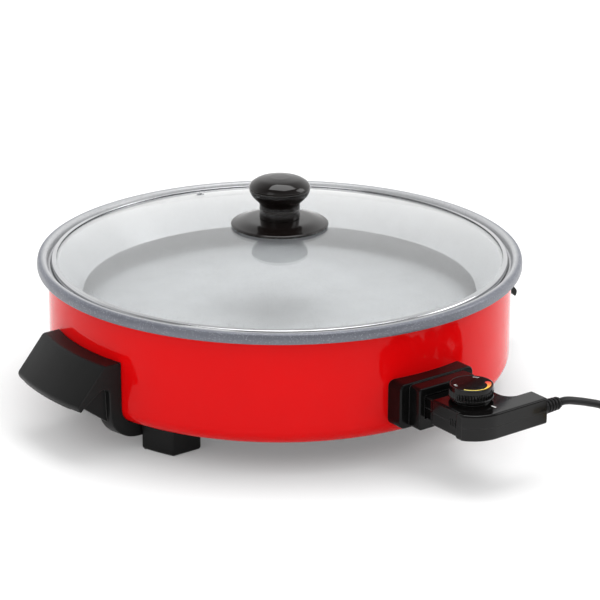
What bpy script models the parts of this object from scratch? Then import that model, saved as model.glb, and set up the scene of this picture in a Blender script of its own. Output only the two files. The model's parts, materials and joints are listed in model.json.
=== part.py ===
"""Round electric skillet with a lift-off glass lid and a plug-in probe control.

Lengths are in metres and +Z is up. The skillet stands on the table at z = 0. The probe control
points along -Y and the handles along +X and -X. The pan's axis is set back along +Y, so that the
footprint of the skillet and its control is centred on the origin.
"""

import math
from dataclasses import dataclass

import bmesh
import bpy
from mathutils import Matrix, Vector

MM = 0.001
GAP = 0.3 * MM  # clearance between pieces that touch
OVERRUN = 2.0 * MM  # how far a cutter passes the surface it cuts
MERGE = 0.01 * MM
ROUND_STEPS = 40
KNOB_STEPS = 24
SMALL_STEPS = 14
TINY_STEPS = 10
ARC_STEPS = 3
SHARP_ANGLE = math.radians(35)  # edges that bend further show as edges
LEVEL_SHARE = 0.999  # a face whose normal rises this much is level

# Pan and casing
RIM_RADIUS = 188.0 * MM
RIM_OVERHANG = 8.0 * MM
RIM_HEIGHT = 7.6 * MM
CASING_RADIUS = RIM_RADIUS - RIM_OVERHANG
CASING_DEPTH = 82.1 * MM
CASING_FILLET = 13.1 * MM
CASING_WALL = 1.2 * MM
CASING_MOUTH_RADIUS = 118.0 * MM
FOOT_DROP = 21.9 * MM
LIP_Z = FOOT_DROP + CASING_DEPTH
PAN_DEPTH = 40.0 * MM  # cooking floor below the rim's lower edge
PAN_FLOOR_RADIUS = 152.0 * MM
PAN_FLOOR = 3.0 * MM
PAN_FILLET = 17.0 * MM
PAN_WALL = 3.6 * MM
PAN_DRAFT = 2.0 * MM  # how far the wall leans out over its height
FLOOR_Z = LIP_Z - PAN_DEPTH
POST_RADIUS = 5.0 * MM
SCREW_RADIUS = 2.0 * MM
SCREW_HEAD_RADIUS = 4.0 * MM
SCREW_HEAD = 2.4 * MM
SCREW_GRIP = 12.0 * MM  # how far a screw reaches into its post
BASE_POST_CIRCLE = 70.0 * MM
BASE_POST_COUNT = 3
BASE_LAP = 9.0 * MM  # how far the base plate laps the casing's mouth
BASE_PLATE = 1.2 * MM
BASE_SLOT_COUNT = 12
BASE_SLOT_LENGTH = 26.0 * MM
BASE_SLOT_WIDTH = 4.0 * MM
BASE_SLOT_CIRCLE = 98.0 * MM

# Lid
LID_RADIUS = 177.1 * MM
LEDGE_RISE = 0.6 * MM  # ledge above the rim's lower edge
LEDGE_WIDTH = 6.0 * MM
BAND_WALL = 1.6 * MM
BAND_LIP = 0.7 * MM
BAND_LIP_WIDTH = 4.2 * MM
GLASS_THICKNESS = 3.3 * MM
DOME_RISE = 23.6 * MM  # crown above the glass's edge
GLASS_RINGS = 5
VENT_CIRCLE = 145.3 * MM
VENT_ANGLE = math.radians(170.7)  # from the probe's side
VENT_BORE = 1.5 * MM
VENT_TUBE = 2.4 * MM
VENT_FLANGE = 3.6 * MM
VENT_FLANGE_THICKNESS = 0.6 * MM

# Knob, with heights above the crown of the glass
KNOB_RADIUS = 23.8 * MM
KNOB_NECK_RADIUS = 15.7 * MM
KNOB_HEIGHT = 38.0 * MM
GUARD_RADIUS = 38.0 * MM
GUARD_RISE = 5.3 * MM
GUARD_EDGE = 2.2 * MM
GASKET_RADIUS = 12.0 * MM
GASKET_THICKNESS = 1.2 * MM
WASHER_RADIUS = 9.0 * MM
WASHER_THICKNESS = 1.0 * MM
KNOB_SCREW_RADIUS = 2.5 * MM
KNOB_SCREW_HEAD_RADIUS = 5.5 * MM
KNOB_SCREW_HEAD = 2.6 * MM
KNOB_SCREW_REACH = 19.0 * MM  # above the crown

# Handles and feet
HANDLE_DROP = 32.5 * MM  # top face below the rim's lower edge
HANDLE_HALF_WIDTH = 43.5 * MM
HANDLE_REACH = 36.5 * MM
HANDLE_DEPTH = 31.7 * MM
LEG_WIDTH = 12.5 * MM
LEG_THICKNESS = 10.2 * MM
LEG_BEND = 23.3 * MM
LEG_SOLE_Z = 10.2 * MM
LEG_INNER_RADIUS = 146.0 * MM
WEB_WIDTH = 4.0 * MM
WEB_RECESS = 4.5 * MM
FOOT_RADIUS = 165.5 * MM  # to the foot's outer face
FOOT_INNER = 124.0 * MM
FOOT_NEAR = 44.5 * MM
FOOT_FAR = 71.5 * MM
FOOT_ROUND = 2.5 * MM
FOOT_RECESS_RADIUS = 5.0 * MM
FOOT_RECESS = 4.8 * MM
NECK_LAP = 6.0 * MM

# Inlet shroud
SHROUD_HALF_WIDTH = 34.0 * MM
SHROUD_HEIGHT = 34.4 * MM
SHROUD_DROP = 1.3 * MM  # its middle below the probe's axis
SHROUD_STAND = 11.4 * MM  # first tier's front beyond the casing
SHROUD_ROUND = 2.6 * MM
PROBE_DROP = 52.2 * MM  # probe's axis below the rim's lower edge
COLLAR_HALF_WIDTH = 26.0 * MM
COLLAR_HEIGHT = 32.0 * MM
COLLAR_STAND = 23.0 * MM
COLLAR_ROUND = 1.4 * MM
SOCKET_DEPTH = 18.5 * MM
SOCKET_CLEARANCE = 0.7 * MM
SHROUD_SCREW_X = 28.0 * MM
SHROUD_SCREW_RADIUS = 1.5 * MM
SHROUD_SCREW_HEAD_RADIUS = 3.0 * MM
SHROUD_SCREW_HEAD = 1.8 * MM
SHROUD_SCREW_GRIP = 6.0 * MM

# Heater, terminals and sensor sleeve
ELEMENT_CIRCLE = 105.0 * MM
ELEMENT_RADIUS = 3.5 * MM
ELEMENT_OPENING = math.radians(30)
ELEMENT_STEP = math.radians(15)
ELEMENT_ARC_POINTS = 21
CLIP_COUNT = 3
CLIP_WIDTH = 8.0 * MM
CLIP_THICKNESS = 1.2 * MM
CLIP_FLANGE = 7.0 * MM
PIN_X = 14.0 * MM
PIN_RADIUS = 2.5 * MM
PIN_INNER_Y = 26.0 * MM  # inside the casing's radius
PIN_REACH = 20.0 * MM  # beyond the casing's radius
INSULATOR_RADIUS = 4.2 * MM
INSULATOR_LENGTH = 10.0 * MM
BRACKET_HALF_WIDTH = 32.0 * MM
BRACKET_HEIGHT = 24.0 * MM
BRACKET_THICKNESS = 1.5 * MM
PROBE_RADIUS = 3.0 * MM
SLEEVE_WALL = 1.0 * MM
SLEEVE_CLEARANCE = 0.4 * MM
SLEEVE_INNER_Y = 76.0 * MM
RIB_WIDTH = 10.0 * MM
RIB_LENGTH = 44.0 * MM

# Control housing, measured from the probe's axis and the socket's floor
TONGUE_HALF_WIDTH = 20.5 * MM
TONGUE_HEIGHT = 16.6 * MM
TONGUE_CLEAR = 1.5 * MM  # from the socket's floor
SHOULDER_Y = 27.5 * MM
NOSE_HALF_WIDTH = 23.0 * MM
HOUSING_HEIGHT = 19.6 * MM
HOUSING_WALL = 2.2 * MM
HOUSING_ROUND = 1.6 * MM
FRONT_Y = 74.8 * MM
CHEEK_Y = 56.5 * MM  # where the front cap steps out
CHEEK_STEP = 2.0 * MM
ARM_DEPTH = 17.8 * MM
ARM_REACH = 45.5 * MM
CORNER_RADIUS = 28.0 * MM  # the front's left corner
CORNER_PASS = 5.0 * MM  # how far its circle passes the cheek, which leaves an edge there
ELBOW_ROUND = 9.0 * MM
HOUSING_SCREW_RADIUS = 1.2 * MM
HOUSING_SCREW_HEAD_RADIUS = 2.3 * MM
HOUSING_SCREW_HEAD = 1.2 * MM
HOUSING_BOSS_RADIUS = 2.6 * MM
NOSE_SCREW_SPOT_SHARES = (-0.81, 0.862)  # of the nose's half width and the front
ARM_SCREW_SPOT_SHARES = (0.266, 0.88)  # of the arm's reach past the nose and the front
SLOT_COUNT = 4
SLOT_WIDTH = 0.9 * MM
SLOT_PITCH = 1.9 * MM
SLOT_HEIGHT = 6.0 * MM
CONTACT_LENGTH = 19.0 * MM
CONTACT_WALL = 0.9 * MM
CONTACT_CLEARANCE = 0.4 * MM
PROBE_FLANGE_RADIUS = 4.6 * MM
PROBE_FLANGE = 2.0 * MM
PROBE_TAIL = 10.0 * MM
PROBE_TIP_CLEAR = 2.0 * MM
PULL_RANGE = 100.0 * MM

# Thermostat, with heights above the lower shell's floor
FRAME_HALF_WIDTH = 7.0 * MM
FRAME_LENGTH = 24.0 * MM
FRAME_THICKNESS = 1.0 * MM
BLADE_HALF_WIDTH = 2.6 * MM
BLADE_LENGTH = 22.0 * MM
BLADE_THICKNESS = 0.5 * MM
STACK_RADIUS = 3.0 * MM
STACK_WASHER = 1.2 * MM
RIVET_RADIUS = 1.2 * MM
RIVET_HEAD_RADIUS = 2.2 * MM
RIVET_HEAD = 0.6 * MM
LEAD_RADIUS = 1.0 * MM

# Dial, measured from its own axis and the housing's top
DIAL_Y = 43.7 * MM  # from the socket's floor
DIAL_RADIUS = 16.1 * MM
DIAL_TOP = 12.1 * MM
DIAL_FOOT = 3.0 * MM
DIAL_TAPER = 0.6 * MM  # over the smooth band
DIAL_WALL = 1.6 * MM
DIAL_BAND = 3.4 * MM  # smooth band above the flutes
DIAL_FLUTES = 18
DIAL_FLUTE_DEPTH = 0.45 * MM
DISC_RADIUS = 14.4 * MM
DISC_THICKNESS = 0.6 * MM
SHAFT_RADIUS = 3.0 * MM
SHAFT_CLEARANCE = 0.35 * MM
CAM_RADIUS = 4.5 * MM
CAM_THICKNESS = 1.4 * MM
CAM_THROW = 1.0 * MM
HUB_RADIUS = 5.4 * MM
COLLAR_RING_RADIUS = 13.6 * MM
COLLAR_RING_RISE = 1.7 * MM
DIAL_TURN = math.radians(290)

# Cord, coil and plug
CORD_RADIUS = 3.0 * MM
CORD_SIDES_RESOLUTION = 3
CORD_SPACING = 13.0 * MM
RELIEF_LENGTH = 18.0 * MM
RELIEF_ROOT_RADIUS = 5.5 * MM
RELIEF_TIP_RADIUS = 4.8 * MM
RELIEF_RINGS = 6
RELIEF_GROOVE = 0.9 * MM
RELIEF_NECK_RADIUS = 3.6 * MM
RELIEF_FLANGE_RADIUS = 5.2 * MM
RELIEF_FLANGE = 2.6 * MM
RELIEF_DROP = 1.2 * MM
CORD_ROUTE = (  # from the strain relief to the coil, from the pan's axis, in millimetres
    (78.0, -250.4, 48.7),
    (88.0, -250.4, 45.4),
    (98.0, -250.5, 41.9),
    (107.0, -250.7, 38.2),
    (119.0, -251.0, 31.6),
    (132.0, -251.3, 22.6),
    (145.0, -251.6, 13.4),
    (157.0, -251.8, 7.2),
    (168.0, -252.0, 4.4),
)
COIL_CENTRE = (183.0, -290.8)  # from the pan's axis, in millimetres
COIL_MIDDLE_RADIUS = 33.0 * MM
COIL_PITCH = 6.6 * MM
COIL_LAYER_TURNS = 1.5
COIL_CLIMB_TURNS = 0.5
COIL_POINTS_A_TURN = 24
TIE_THICKNESS = 0.8 * MM
TIE_WIDTH = 8.0 * MM
TIE_SLACK = 0.9 * MM
TIE_CORNER = 2.4 * MM
PLUG_HALF_WIDTH = 12.0 * MM
PLUG_LENGTH = 30.0 * MM
PLUG_ROUND = 4.0 * MM
PLUG_TAIL_LENGTH = 25.0 * MM
PLUG_TAIL_RADIUS = 4.8 * MM
BLADE_SPACING = 12.7 * MM
BLADE_PLUG_HEIGHT = 6.3 * MM
BLADE_PLUG_THICKNESS = 1.5 * MM
BLADE_PLUG_REACH = 17.0 * MM
BLADE_PLUG_ROOT = 5.0 * MM

# Outlines as shares of the sizes that they follow
RIM_SECTION_SHARES = (
    (0.0, 0.50),
    (0.10, 0.79),
    (0.28, 0.95),
    (0.50, 1.0),
    (0.72, 0.97),
    (0.91, 0.82),
    (1.0, 0.47),
    (1.0, 0.0),
)
KNOB_CAP_SHARES = ((0.0, 1.0), (0.38, 0.99), (0.68, 0.955), (0.89, 0.885), (0.975, 0.825), (1.0, 0.77))
KNOB_BODY_SHARES = ((0.99, 0.765), (0.975, 0.69), (0.91, 0.61), (0.80, 0.535), (0.70, 0.475), (0.665, 0.43))
HANDLE_OUTER_SHARES = ((0.0, 0.0), (0.375, 0.0), (1.0, 0.842), (0.945, 1.0), (0.85, 0.89), (0.755, 0.97))
HANDLE_HOLLOW_SHARES = ((0.335, 0.145), (0.899, 0.96), (0.899, 2.4), (-1.0, 2.4), (-1.0, 0.85), (0.125, 0.85))
HANDLE_HOLLOW_TOP_SHARE = 0.145
HANDLE_WINDOW_SHARES = ((0.44, 0.54), (0.857, 0.89), (0.857, 1.56), (0.40, 1.56))
HANDLE_WINDOW_APEX_SHARES = (0.28, 0.62)

# Places that follow from the sizes above
PROBE_Z = LIP_Z - PROBE_DROP
LEDGE_Z = LIP_Z + LEDGE_RISE
SOCKET_Y = CASING_RADIUS + COLLAR_STAND - SOCKET_DEPTH
PAN_AXIS_Y = (SOCKET_Y + FRONT_Y - RIM_RADIUS) / 2
HANDLE_TOP_Z = LIP_Z - HANDLE_DROP
CROWN_Z = BAND_LIP + 2 * GAP + GLASS_THICKNESS + DOME_RISE  # above the ledge
COIL_BASE_Z = TIE_THICKNESS + GAP + CORD_RADIUS
COIL_TOP_Z = COIL_BASE_Z + COIL_PITCH


@dataclass(frozen=True)
class Finish:
    """A plain colour with its roughness and metallic value."""

    color: tuple
    roughness: float
    metallic: float = 0.0
    alpha: float = 1.0


FINISHES = {
    "nonstick_grey": Finish((0.21, 0.22, 0.24), 0.38, 0.55),
    "red_enamel": Finish((0.62, 0.010, 0.010), 0.12),
    "matte_black": Finish((0.012, 0.012, 0.012), 0.55),
    "gloss_black": Finish((0.008, 0.008, 0.008), 0.16),
    "steel": Finish((0.55, 0.55, 0.56), 0.25, 1.0),
    "glass": Finish((0.92, 0.95, 0.95), 0.03, 0.0, 0.25),
    "brass": Finish((0.60, 0.46, 0.20), 0.3, 1.0),
    "ceramic": Finish((0.82, 0.80, 0.74), 0.6),
    "silicone": Finish((0.45, 0.45, 0.46), 0.7),
    "dial_face": Finish((0.015, 0.015, 0.015), 0.3),
    "cord_black": Finish((0.014, 0.014, 0.014), 0.45),
}


def clear_scene():
    """Remove every object that the file starts with."""
    for obj in list(bpy.data.objects):
        bpy.data.objects.remove(obj, do_unlink=True)


def new_collection(name):
    collection = bpy.data.collections.new(name)
    bpy.context.scene.collection.children.link(collection)
    return collection


def material(name):
    """The named finish as a Principled material, made once."""
    found = bpy.data.materials.get(name)
    if found:
        return found
    finish = FINISHES[name]
    made = bpy.data.materials.new(name)
    made.use_nodes = True
    shader = made.node_tree.nodes["Principled BSDF"]
    shader.inputs["Base Color"].default_value = (*finish.color, 1.0)
    shader.inputs["Roughness"].default_value = finish.roughness
    shader.inputs["Metallic"].default_value = finish.metallic
    shader.inputs["Alpha"].default_value = finish.alpha
    return made


def empty(name, location, parent=None):
    obj = bpy.data.objects.new(name, None)
    obj.location = location
    obj.parent = parent
    PARTS.objects.link(obj)
    return obj


def place(name, data, finish, parent):
    """Add a mesh or curve: a part with a finish, or a hidden cutter without one."""
    obj = bpy.data.objects.new(name, data)
    obj.parent = parent
    if finish:
        data.materials.append(material(finish))
        PARTS.objects.link(obj)
    else:
        CUTTERS.objects.link(obj)
        obj.hide_render = True
        obj.display_type = "WIRE"
    return obj


def mesh_from(bm, name):
    """Turn a bmesh into a mesh whose round sides are smooth and whose flat faces aren't."""
    bmesh.ops.recalc_face_normals(bm, faces=bm.faces)
    for face in bm.faces:
        alone = all(edge.calc_face_angle(0) > SHARP_ANGLE for edge in face.edges)
        face.smooth = not alone and abs(face.normal.z) < LEVEL_SHARE
    mesh = bpy.data.meshes.new(name)
    bm.to_mesh(mesh)
    bm.free()
    mesh.set_sharp_from_angle(angle=SHARP_ANGLE)
    return mesh


def turned(name, profile, finish, parent, steps=ROUND_STEPS, ring=False):
    """Turn a profile of (radius, height) points about Z. It runs down its outer side."""
    mesh = bpy.data.meshes.new(name)
    edges = [(i, i + 1) for i in range(len(profile) - 1)]
    if ring:
        edges.append((len(profile) - 1, 0))
    mesh.from_pydata([(r, 0, z) for r, z in profile], edges, [])
    obj = place(name, mesh, finish, parent)
    screw = obj.modifiers.new("turn", "SCREW")
    screw.axis = "Z"
    screw.angle = math.tau
    screw.steps = steps
    screw.render_steps = steps
    screw.use_merge_vertices = True
    screw.merge_threshold = MERGE
    screw.use_smooth_shade = True
    return obj


def rod(name, radius, start, end, finish, parent, steps=SMALL_STEPS):
    """A cylinder between two points."""
    start, end = Vector(start), Vector(end)
    span = end - start
    bm = bmesh.new()
    turn = span.to_track_quat("Z", "Y").to_matrix().to_4x4()
    bmesh.ops.create_cone(
        bm,
        cap_ends=True,
        segments=steps,
        radius1=radius,
        radius2=radius,
        depth=span.length,
        matrix=Matrix.Translation((start + end) / 2) @ turn,
    )
    return place(name, mesh_from(bm, name), finish, parent)


def add_box(bm, low, high):
    """Add a box between two corners to a bmesh."""
    low, high = Vector(low), Vector(high)
    size = Matrix.Diagonal((*(high - low), 1))
    bmesh.ops.create_cube(bm, size=1, matrix=Matrix.Translation((low + high) / 2) @ size)


def block(name, low, high, finish, parent):
    bm = bmesh.new()
    add_box(bm, low, high)
    return place(name, mesh_from(bm, name), finish, parent)


def plate(name, outlines, low, high, finish, parent, rounding=0.0):
    """A flat shape between two heights. Outlines after the first are holes."""
    curve = bpy.data.curves.new(name, "CURVE")
    curve.dimensions = "2D"
    curve.fill_mode = "BOTH"
    curve.extrude = (high - low) / 2 - rounding
    curve.bevel_depth = rounding
    curve.bevel_resolution = 1
    curve.offset = -rounding
    for outline in outlines:
        spline = curve.splines.new("POLY")
        spline.points.add(len(outline) - 1)
        for point, (x, y) in zip(spline.points, outline):
            point.co = (x, y, 0, 1)
        spline.use_cyclic_u = True
    obj = bpy.data.objects.new(name, curve)
    bpy.context.scene.collection.objects.link(obj)
    bm = bmesh_of(obj)
    bpy.data.objects.remove(obj, do_unlink=True)
    bmesh.ops.remove_doubles(bm, verts=bm.verts, dist=MERGE)
    bmesh.ops.translate(bm, verts=bm.verts, vec=(0, 0, (high + low) / 2))
    return place(name, mesh_from(bm, name), finish, parent)


def bmesh_of(obj):
    """The object's evaluated mesh in a new bmesh."""
    bpy.context.view_layer.update()
    mesh = bpy.data.meshes.new_from_object(
        obj.evaluated_get(bpy.context.evaluated_depsgraph_get())
    )
    bm = bmesh.new()
    bm.from_mesh(mesh)
    bpy.data.meshes.remove(mesh)
    return bm


def tube(name, points, radius, resolution, finish, parent):
    """A round tube along a list of points."""
    curve = bpy.data.curves.new(name, "CURVE")
    curve.dimensions = "3D"
    curve.bevel_depth = radius
    curve.bevel_resolution = resolution
    curve.use_fill_caps = True
    spline = curve.splines.new("POLY")
    spline.points.add(len(points) - 1)
    for point, place_at in zip(spline.points, points):
        point.co = (*place_at, 1)
    return place(name, curve, finish, parent)


def bevel(obj, width, segments=2):
    modifier = obj.modifiers.new("rounded edges", "BEVEL")
    modifier.width = width
    modifier.segments = segments
    modifier.limit_method = "ANGLE"
    modifier.angle_limit = math.radians(40)
    modifier.use_clamp_overlap = True
    return obj


def boolean(obj, other, operation):
    modifier = obj.modifiers.new(other.name, "BOOLEAN")
    modifier.object = other
    modifier.operation = operation
    modifier.solver = "EXACT"
    return obj


def cut(obj, *cutters):
    for cutter in cutters:
        boolean(obj, cutter, "DIFFERENCE")
    return obj


def join(obj, *others):
    for other in others:
        boolean(obj, other, "UNION")
    return obj


def arc(centre, radius, start, end, steps=ARC_STEPS):
    """Points on an arc, from and to an angle in degrees."""
    angles = [math.radians(start + (end - start) * i / steps) for i in range(steps + 1)]
    return [(centre[0] + radius * math.cos(a), centre[1] + radius * math.sin(a)) for a in angles]


def circle(centre, radius, steps=SMALL_STEPS):
    return arc(centre, radius, 0, 360, steps)[:-1]


def smooth_path(points, spacing):
    """Points about one spacing apart on a smooth curve through the given points."""
    points = [Vector(p) for p in points]
    ends = [2 * points[0] - points[1], *points, 2 * points[-1] - points[-2]]
    fine = [points[0]]
    shares = [i / 8 for i in range(1, 9)]
    for a, b, c, d in zip(ends, ends[1:], ends[2:], ends[3:]):
        for t in shares:
            bend = (2 * a - 5 * b + 4 * c - d) * t**2 + (3 * b - a - 3 * c + d) * t**3
            fine.append((2 * b + (c - a) * t + bend) / 2)
    lengths = [0.0]
    for a, b in zip(fine, fine[1:]):
        lengths.append(lengths[-1] + (b - a).length)
    count = max(2, round(lengths[-1] / spacing))
    path, i = [], 0
    for step in range(count + 1):
        wanted = lengths[-1] * step / count
        while i < len(fine) - 2 and lengths[i + 1] < wanted:
            i += 1
        share = (wanted - lengths[i]) / (lengths[i + 1] - lengths[i])
        path.append(fine[i].lerp(fine[i + 1], share))
    return path


def polar(radius, angle, z=0.0):
    """A point at an angle turned from the probe's side, -Y, towards +X."""
    return Vector((radius * math.sin(angle), -radius * math.cos(angle), z))


# Pan and casing


def handle_screw_spots():
    """Where a screw passes up through each foot, as (x, y)."""
    x = (FOOT_INNER + math.sqrt(FOOT_RADIUS**2 - FOOT_FAR**2)) / 2
    y = (FOOT_NEAR + FOOT_FAR) / 2
    return [(sx * x, sy * y) for sx in (1, -1) for sy in (1, -1)]


def base_screw_spots():
    step = math.tau / BASE_POST_COUNT
    spots = [polar(BASE_POST_CIRCLE, math.pi + step * i) for i in range(BASE_POST_COUNT)]
    return [(spot.x, spot.y) for spot in spots]


def make_pan(parent):
    """The cast pan: rim, lid rebate, sloping wall, floor, screw posts and probe rib."""
    wall_top = CASING_RADIUS - CASING_WALL - GAP
    ledge_inner = LID_RADIUS - LEDGE_WIDTH
    floor_under = FLOOR_Z - PAN_FLOOR
    fillet_centre = (PAN_FLOOR_RADIUS, FLOOR_Z + PAN_FILLET)
    rebate_z = LEDGE_Z + CASING_WALL + GAP
    rim = [(CASING_RADIUS + a * RIM_OVERHANG, LIP_Z + b * RIM_HEIGHT) for a, b in RIM_SECTION_SHARES]
    profile = [
        (0, FLOOR_Z),
        *arc(fillet_centre, PAN_FILLET, -90, 0),
        (ledge_inner - PAN_DRAFT / 2, LEDGE_Z - GAP),
        (ledge_inner, LEDGE_Z),
        (LID_RADIUS + GAP, LEDGE_Z),
        (LID_RADIUS + 2 * GAP, rebate_z),
        (CASING_RADIUS - GAP, rebate_z + GAP),
        *rim,
        (wall_top, LIP_Z),
        (wall_top - PAN_DRAFT, LIP_Z - PAN_WALL),
        *reversed(arc(fillet_centre, PAN_FILLET + PAN_WALL, -60, 0)),
        (PAN_FLOOR_RADIUS, floor_under),
        (0, floor_under),
    ]
    pan = turned("cooking_pan", profile, "nonstick_grey", parent)
    seat = FOOT_DROP + CASING_WALL + GAP
    inside_floor = FLOOR_Z - PAN_FLOOR / 2
    for i, (x, y) in enumerate(handle_screw_spots()):
        post = (x, y, seat), (x, y, inside_floor)
        join(pan, rod(f"foot_post_{i}", POST_RADIUS, *post, None, parent, TINY_STEPS))
        drill = (x, y, seat - OVERRUN), (x, y, seat + SCREW_GRIP + SCREW_HEAD)
        cut(pan, rod(f"foot_post_bore_{i}", SCREW_RADIUS + GAP, *drill, None, parent, TINY_STEPS))
    for i, (x, y) in enumerate(base_screw_spots()):
        post = (x, y, FOOT_DROP), (x, y, inside_floor)
        join(pan, rod(f"base_post_{i}", POST_RADIUS, *post, None, parent, TINY_STEPS))
        drill = (x, y, FOOT_DROP - OVERRUN), (x, y, FOOT_DROP + SCREW_GRIP + SCREW_HEAD)
        cut(pan, rod(f"base_post_bore_{i}", SCREW_RADIUS + GAP, *drill, None, parent, TINY_STEPS))
    rib_start = SLEEVE_INNER_Y - CASING_RADIUS
    sleeve_top = PROBE_Z + PROBE_RADIUS + SLEEVE_CLEARANCE + SLEEVE_WALL
    rib = block(
        "probe_rib",
        (-RIB_WIDTH / 2, rib_start - RIB_LENGTH, sleeve_top + GAP),
        (RIB_WIDTH / 2, rib_start, inside_floor),
        None,
        parent,
    )
    join(pan, rib)
    return pan


def make_casing(parent):
    """The enamelled outer shell, open below, with holes for the inlet and the screws."""
    centre = (CASING_RADIUS - CASING_FILLET, FOOT_DROP + CASING_FILLET)
    outer = arc(centre, CASING_FILLET, 0, -90)
    inner = arc(centre, CASING_FILLET - CASING_WALL, -90, 0)
    top = LIP_Z - GAP
    profile = [
        (CASING_RADIUS, top),
        *outer,
        (CASING_MOUTH_RADIUS, FOOT_DROP),
        (CASING_MOUTH_RADIUS, FOOT_DROP + CASING_WALL),
        *inner,
        (CASING_RADIUS - CASING_WALL, top),
    ]
    casing = turned("outer_casing", profile, "red_enamel", parent, ring=True)
    inside, outside = -(CASING_RADIUS - CASING_FILLET), -(CASING_RADIUS + OVERRUN)
    half = PIN_X + INSULATOR_RADIUS + GAP
    tall = INSULATOR_RADIUS + SLEEVE_WALL
    window = block(
        "inlet_window",
        (-half, outside, PROBE_Z - tall),
        (half, inside, PROBE_Z + tall),
        None,
        parent,
    )
    cut(casing, window)
    for side in (-1, 1):
        x = side * SHROUD_SCREW_X
        hole = rod(
            f"inlet_screw_hole_{side}",
            SHROUD_SCREW_RADIUS + GAP,
            (x, inside, PROBE_Z),
            (x, outside, PROBE_Z),
            None,
            parent,
            TINY_STEPS,
        )
        cut(casing, hole)
    for i, (x, y) in enumerate(handle_screw_spots()):
        drill = (x, y, FOOT_DROP - OVERRUN), (x, y, FOOT_DROP + CASING_WALL + OVERRUN)
        cut(casing, rod(f"casing_foot_hole_{i}", SCREW_RADIUS + GAP, *drill, None, parent, TINY_STEPS))
    return casing


def make_base_plate(parent):
    """The vented plate that closes the casing's mouth, and its screws."""
    top = FOOT_DROP - GAP
    low = top - BASE_PLATE
    radius = CASING_MOUTH_RADIUS + BASE_LAP
    holes = [circle(spot, SCREW_RADIUS + GAP, TINY_STEPS) for spot in base_screw_spots()]
    slots = []
    for i in range(BASE_SLOT_COUNT):
        turn = Matrix.Rotation(math.tau * (i + 1 / 2) / BASE_SLOT_COUNT, 2)
        half = BASE_SLOT_LENGTH / 2 - BASE_SLOT_WIDTH / 2
        ends = arc((BASE_SLOT_CIRCLE, half), BASE_SLOT_WIDTH / 2, 0, 180) + arc(
            (BASE_SLOT_CIRCLE, -half), BASE_SLOT_WIDTH / 2, 180, 360
        )
        slots.append([tuple(turn @ Vector(point)) for point in ends])
    outline = circle((0, 0), radius, ROUND_STEPS)
    plate("base_plate", [outline, *holes, *slots], low, top, "steel", parent)
    for i, (x, y) in enumerate(base_screw_spots()):
        make_screw(f"base_screw_{i + 1}", (x, y), low - GAP, FOOT_DROP + SCREW_GRIP, parent)


def make_screw(name, spot, head_top, tip, parent):
    """A pan-head screw that points up."""
    profile = [
        (0, tip),
        (SCREW_RADIUS, tip),
        (SCREW_RADIUS, head_top),
        (SCREW_HEAD_RADIUS, head_top),
        (SCREW_HEAD_RADIUS, head_top - SCREW_HEAD / 2),
        (SCREW_HEAD_RADIUS / 2, head_top - SCREW_HEAD),
        (0, head_top - SCREW_HEAD),
    ]
    screw = turned(name, profile, "steel", parent, TINY_STEPS)
    screw.location = (*spot, 0)
    return screw


# Heater, terminals and sensor sleeve


def make_heater(parent):
    """The horseshoe element, its terminal pins and the insulators that carry them."""
    top = FLOOR_Z - PAN_FLOOR - GAP - ELEMENT_RADIUS
    inner_y = PIN_INNER_Y - CASING_RADIUS
    lead = [
        Vector((PIN_X, inner_y + 2 * ELEMENT_RADIUS, PROBE_Z)),
        Vector((PIN_X + ELEMENT_RADIUS, inner_y + 6 * ELEMENT_RADIUS, (PROBE_Z + top) / 2)),
    ]
    angles = [ELEMENT_OPENING + ELEMENT_STEP * i for i in range(ELEMENT_ARC_POINTS)]
    ring = [polar(ELEMENT_CIRCLE, angle, top) for angle in angles]
    back = [Vector((-p.x, p.y, p.z)) for p in reversed(lead)]
    path = smooth_path([*lead, *ring, *back], 5 * ELEMENT_RADIUS)
    ends = [Vector((side * PIN_X, inner_y, PROBE_Z)) for side in (1, -1)]
    tube("heating_element", [ends[0], *path, ends[1]], ELEMENT_RADIUS, 1, "steel", parent)
    bracket_y = terminal_bracket_face()
    for side, word in ((-1, "left"), (1, "right")):
        x = side * PIN_X
        rod(
            f"terminal_pin_{word}",
            PIN_RADIUS,
            (x, inner_y - GAP, PROBE_Z),
            (x, -(CASING_RADIUS + PIN_REACH), PROBE_Z),
            "steel",
            parent,
        )
        half = INSULATOR_LENGTH / 2
        shoulder = INSULATOR_RADIUS + SLEEVE_WALL
        profile = [
            (shoulder, half),
            (shoulder, GAP),
            (INSULATOR_RADIUS, GAP),
            (INSULATOR_RADIUS, -half),
            (PIN_RADIUS + GAP, -half),
            (PIN_RADIUS + GAP, half),
        ]
        insulator = turned(
            f"terminal_insulator_{word}", profile, "ceramic", parent, SMALL_STEPS, ring=True
        )
        insulator.rotation_euler = (-math.pi / 2, 0, 0)
        insulator.location = (x, bracket_y + BRACKET_THICKNESS, PROBE_Z)


def terminal_bracket_face():
    """The y of the bracket's outer face, which sits inside the casing's wall."""
    inner = CASING_RADIUS - CASING_WALL - GAP
    return -math.sqrt(inner**2 - BRACKET_HALF_WIDTH**2) * math.cos(math.pi / ROUND_STEPS)


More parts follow.
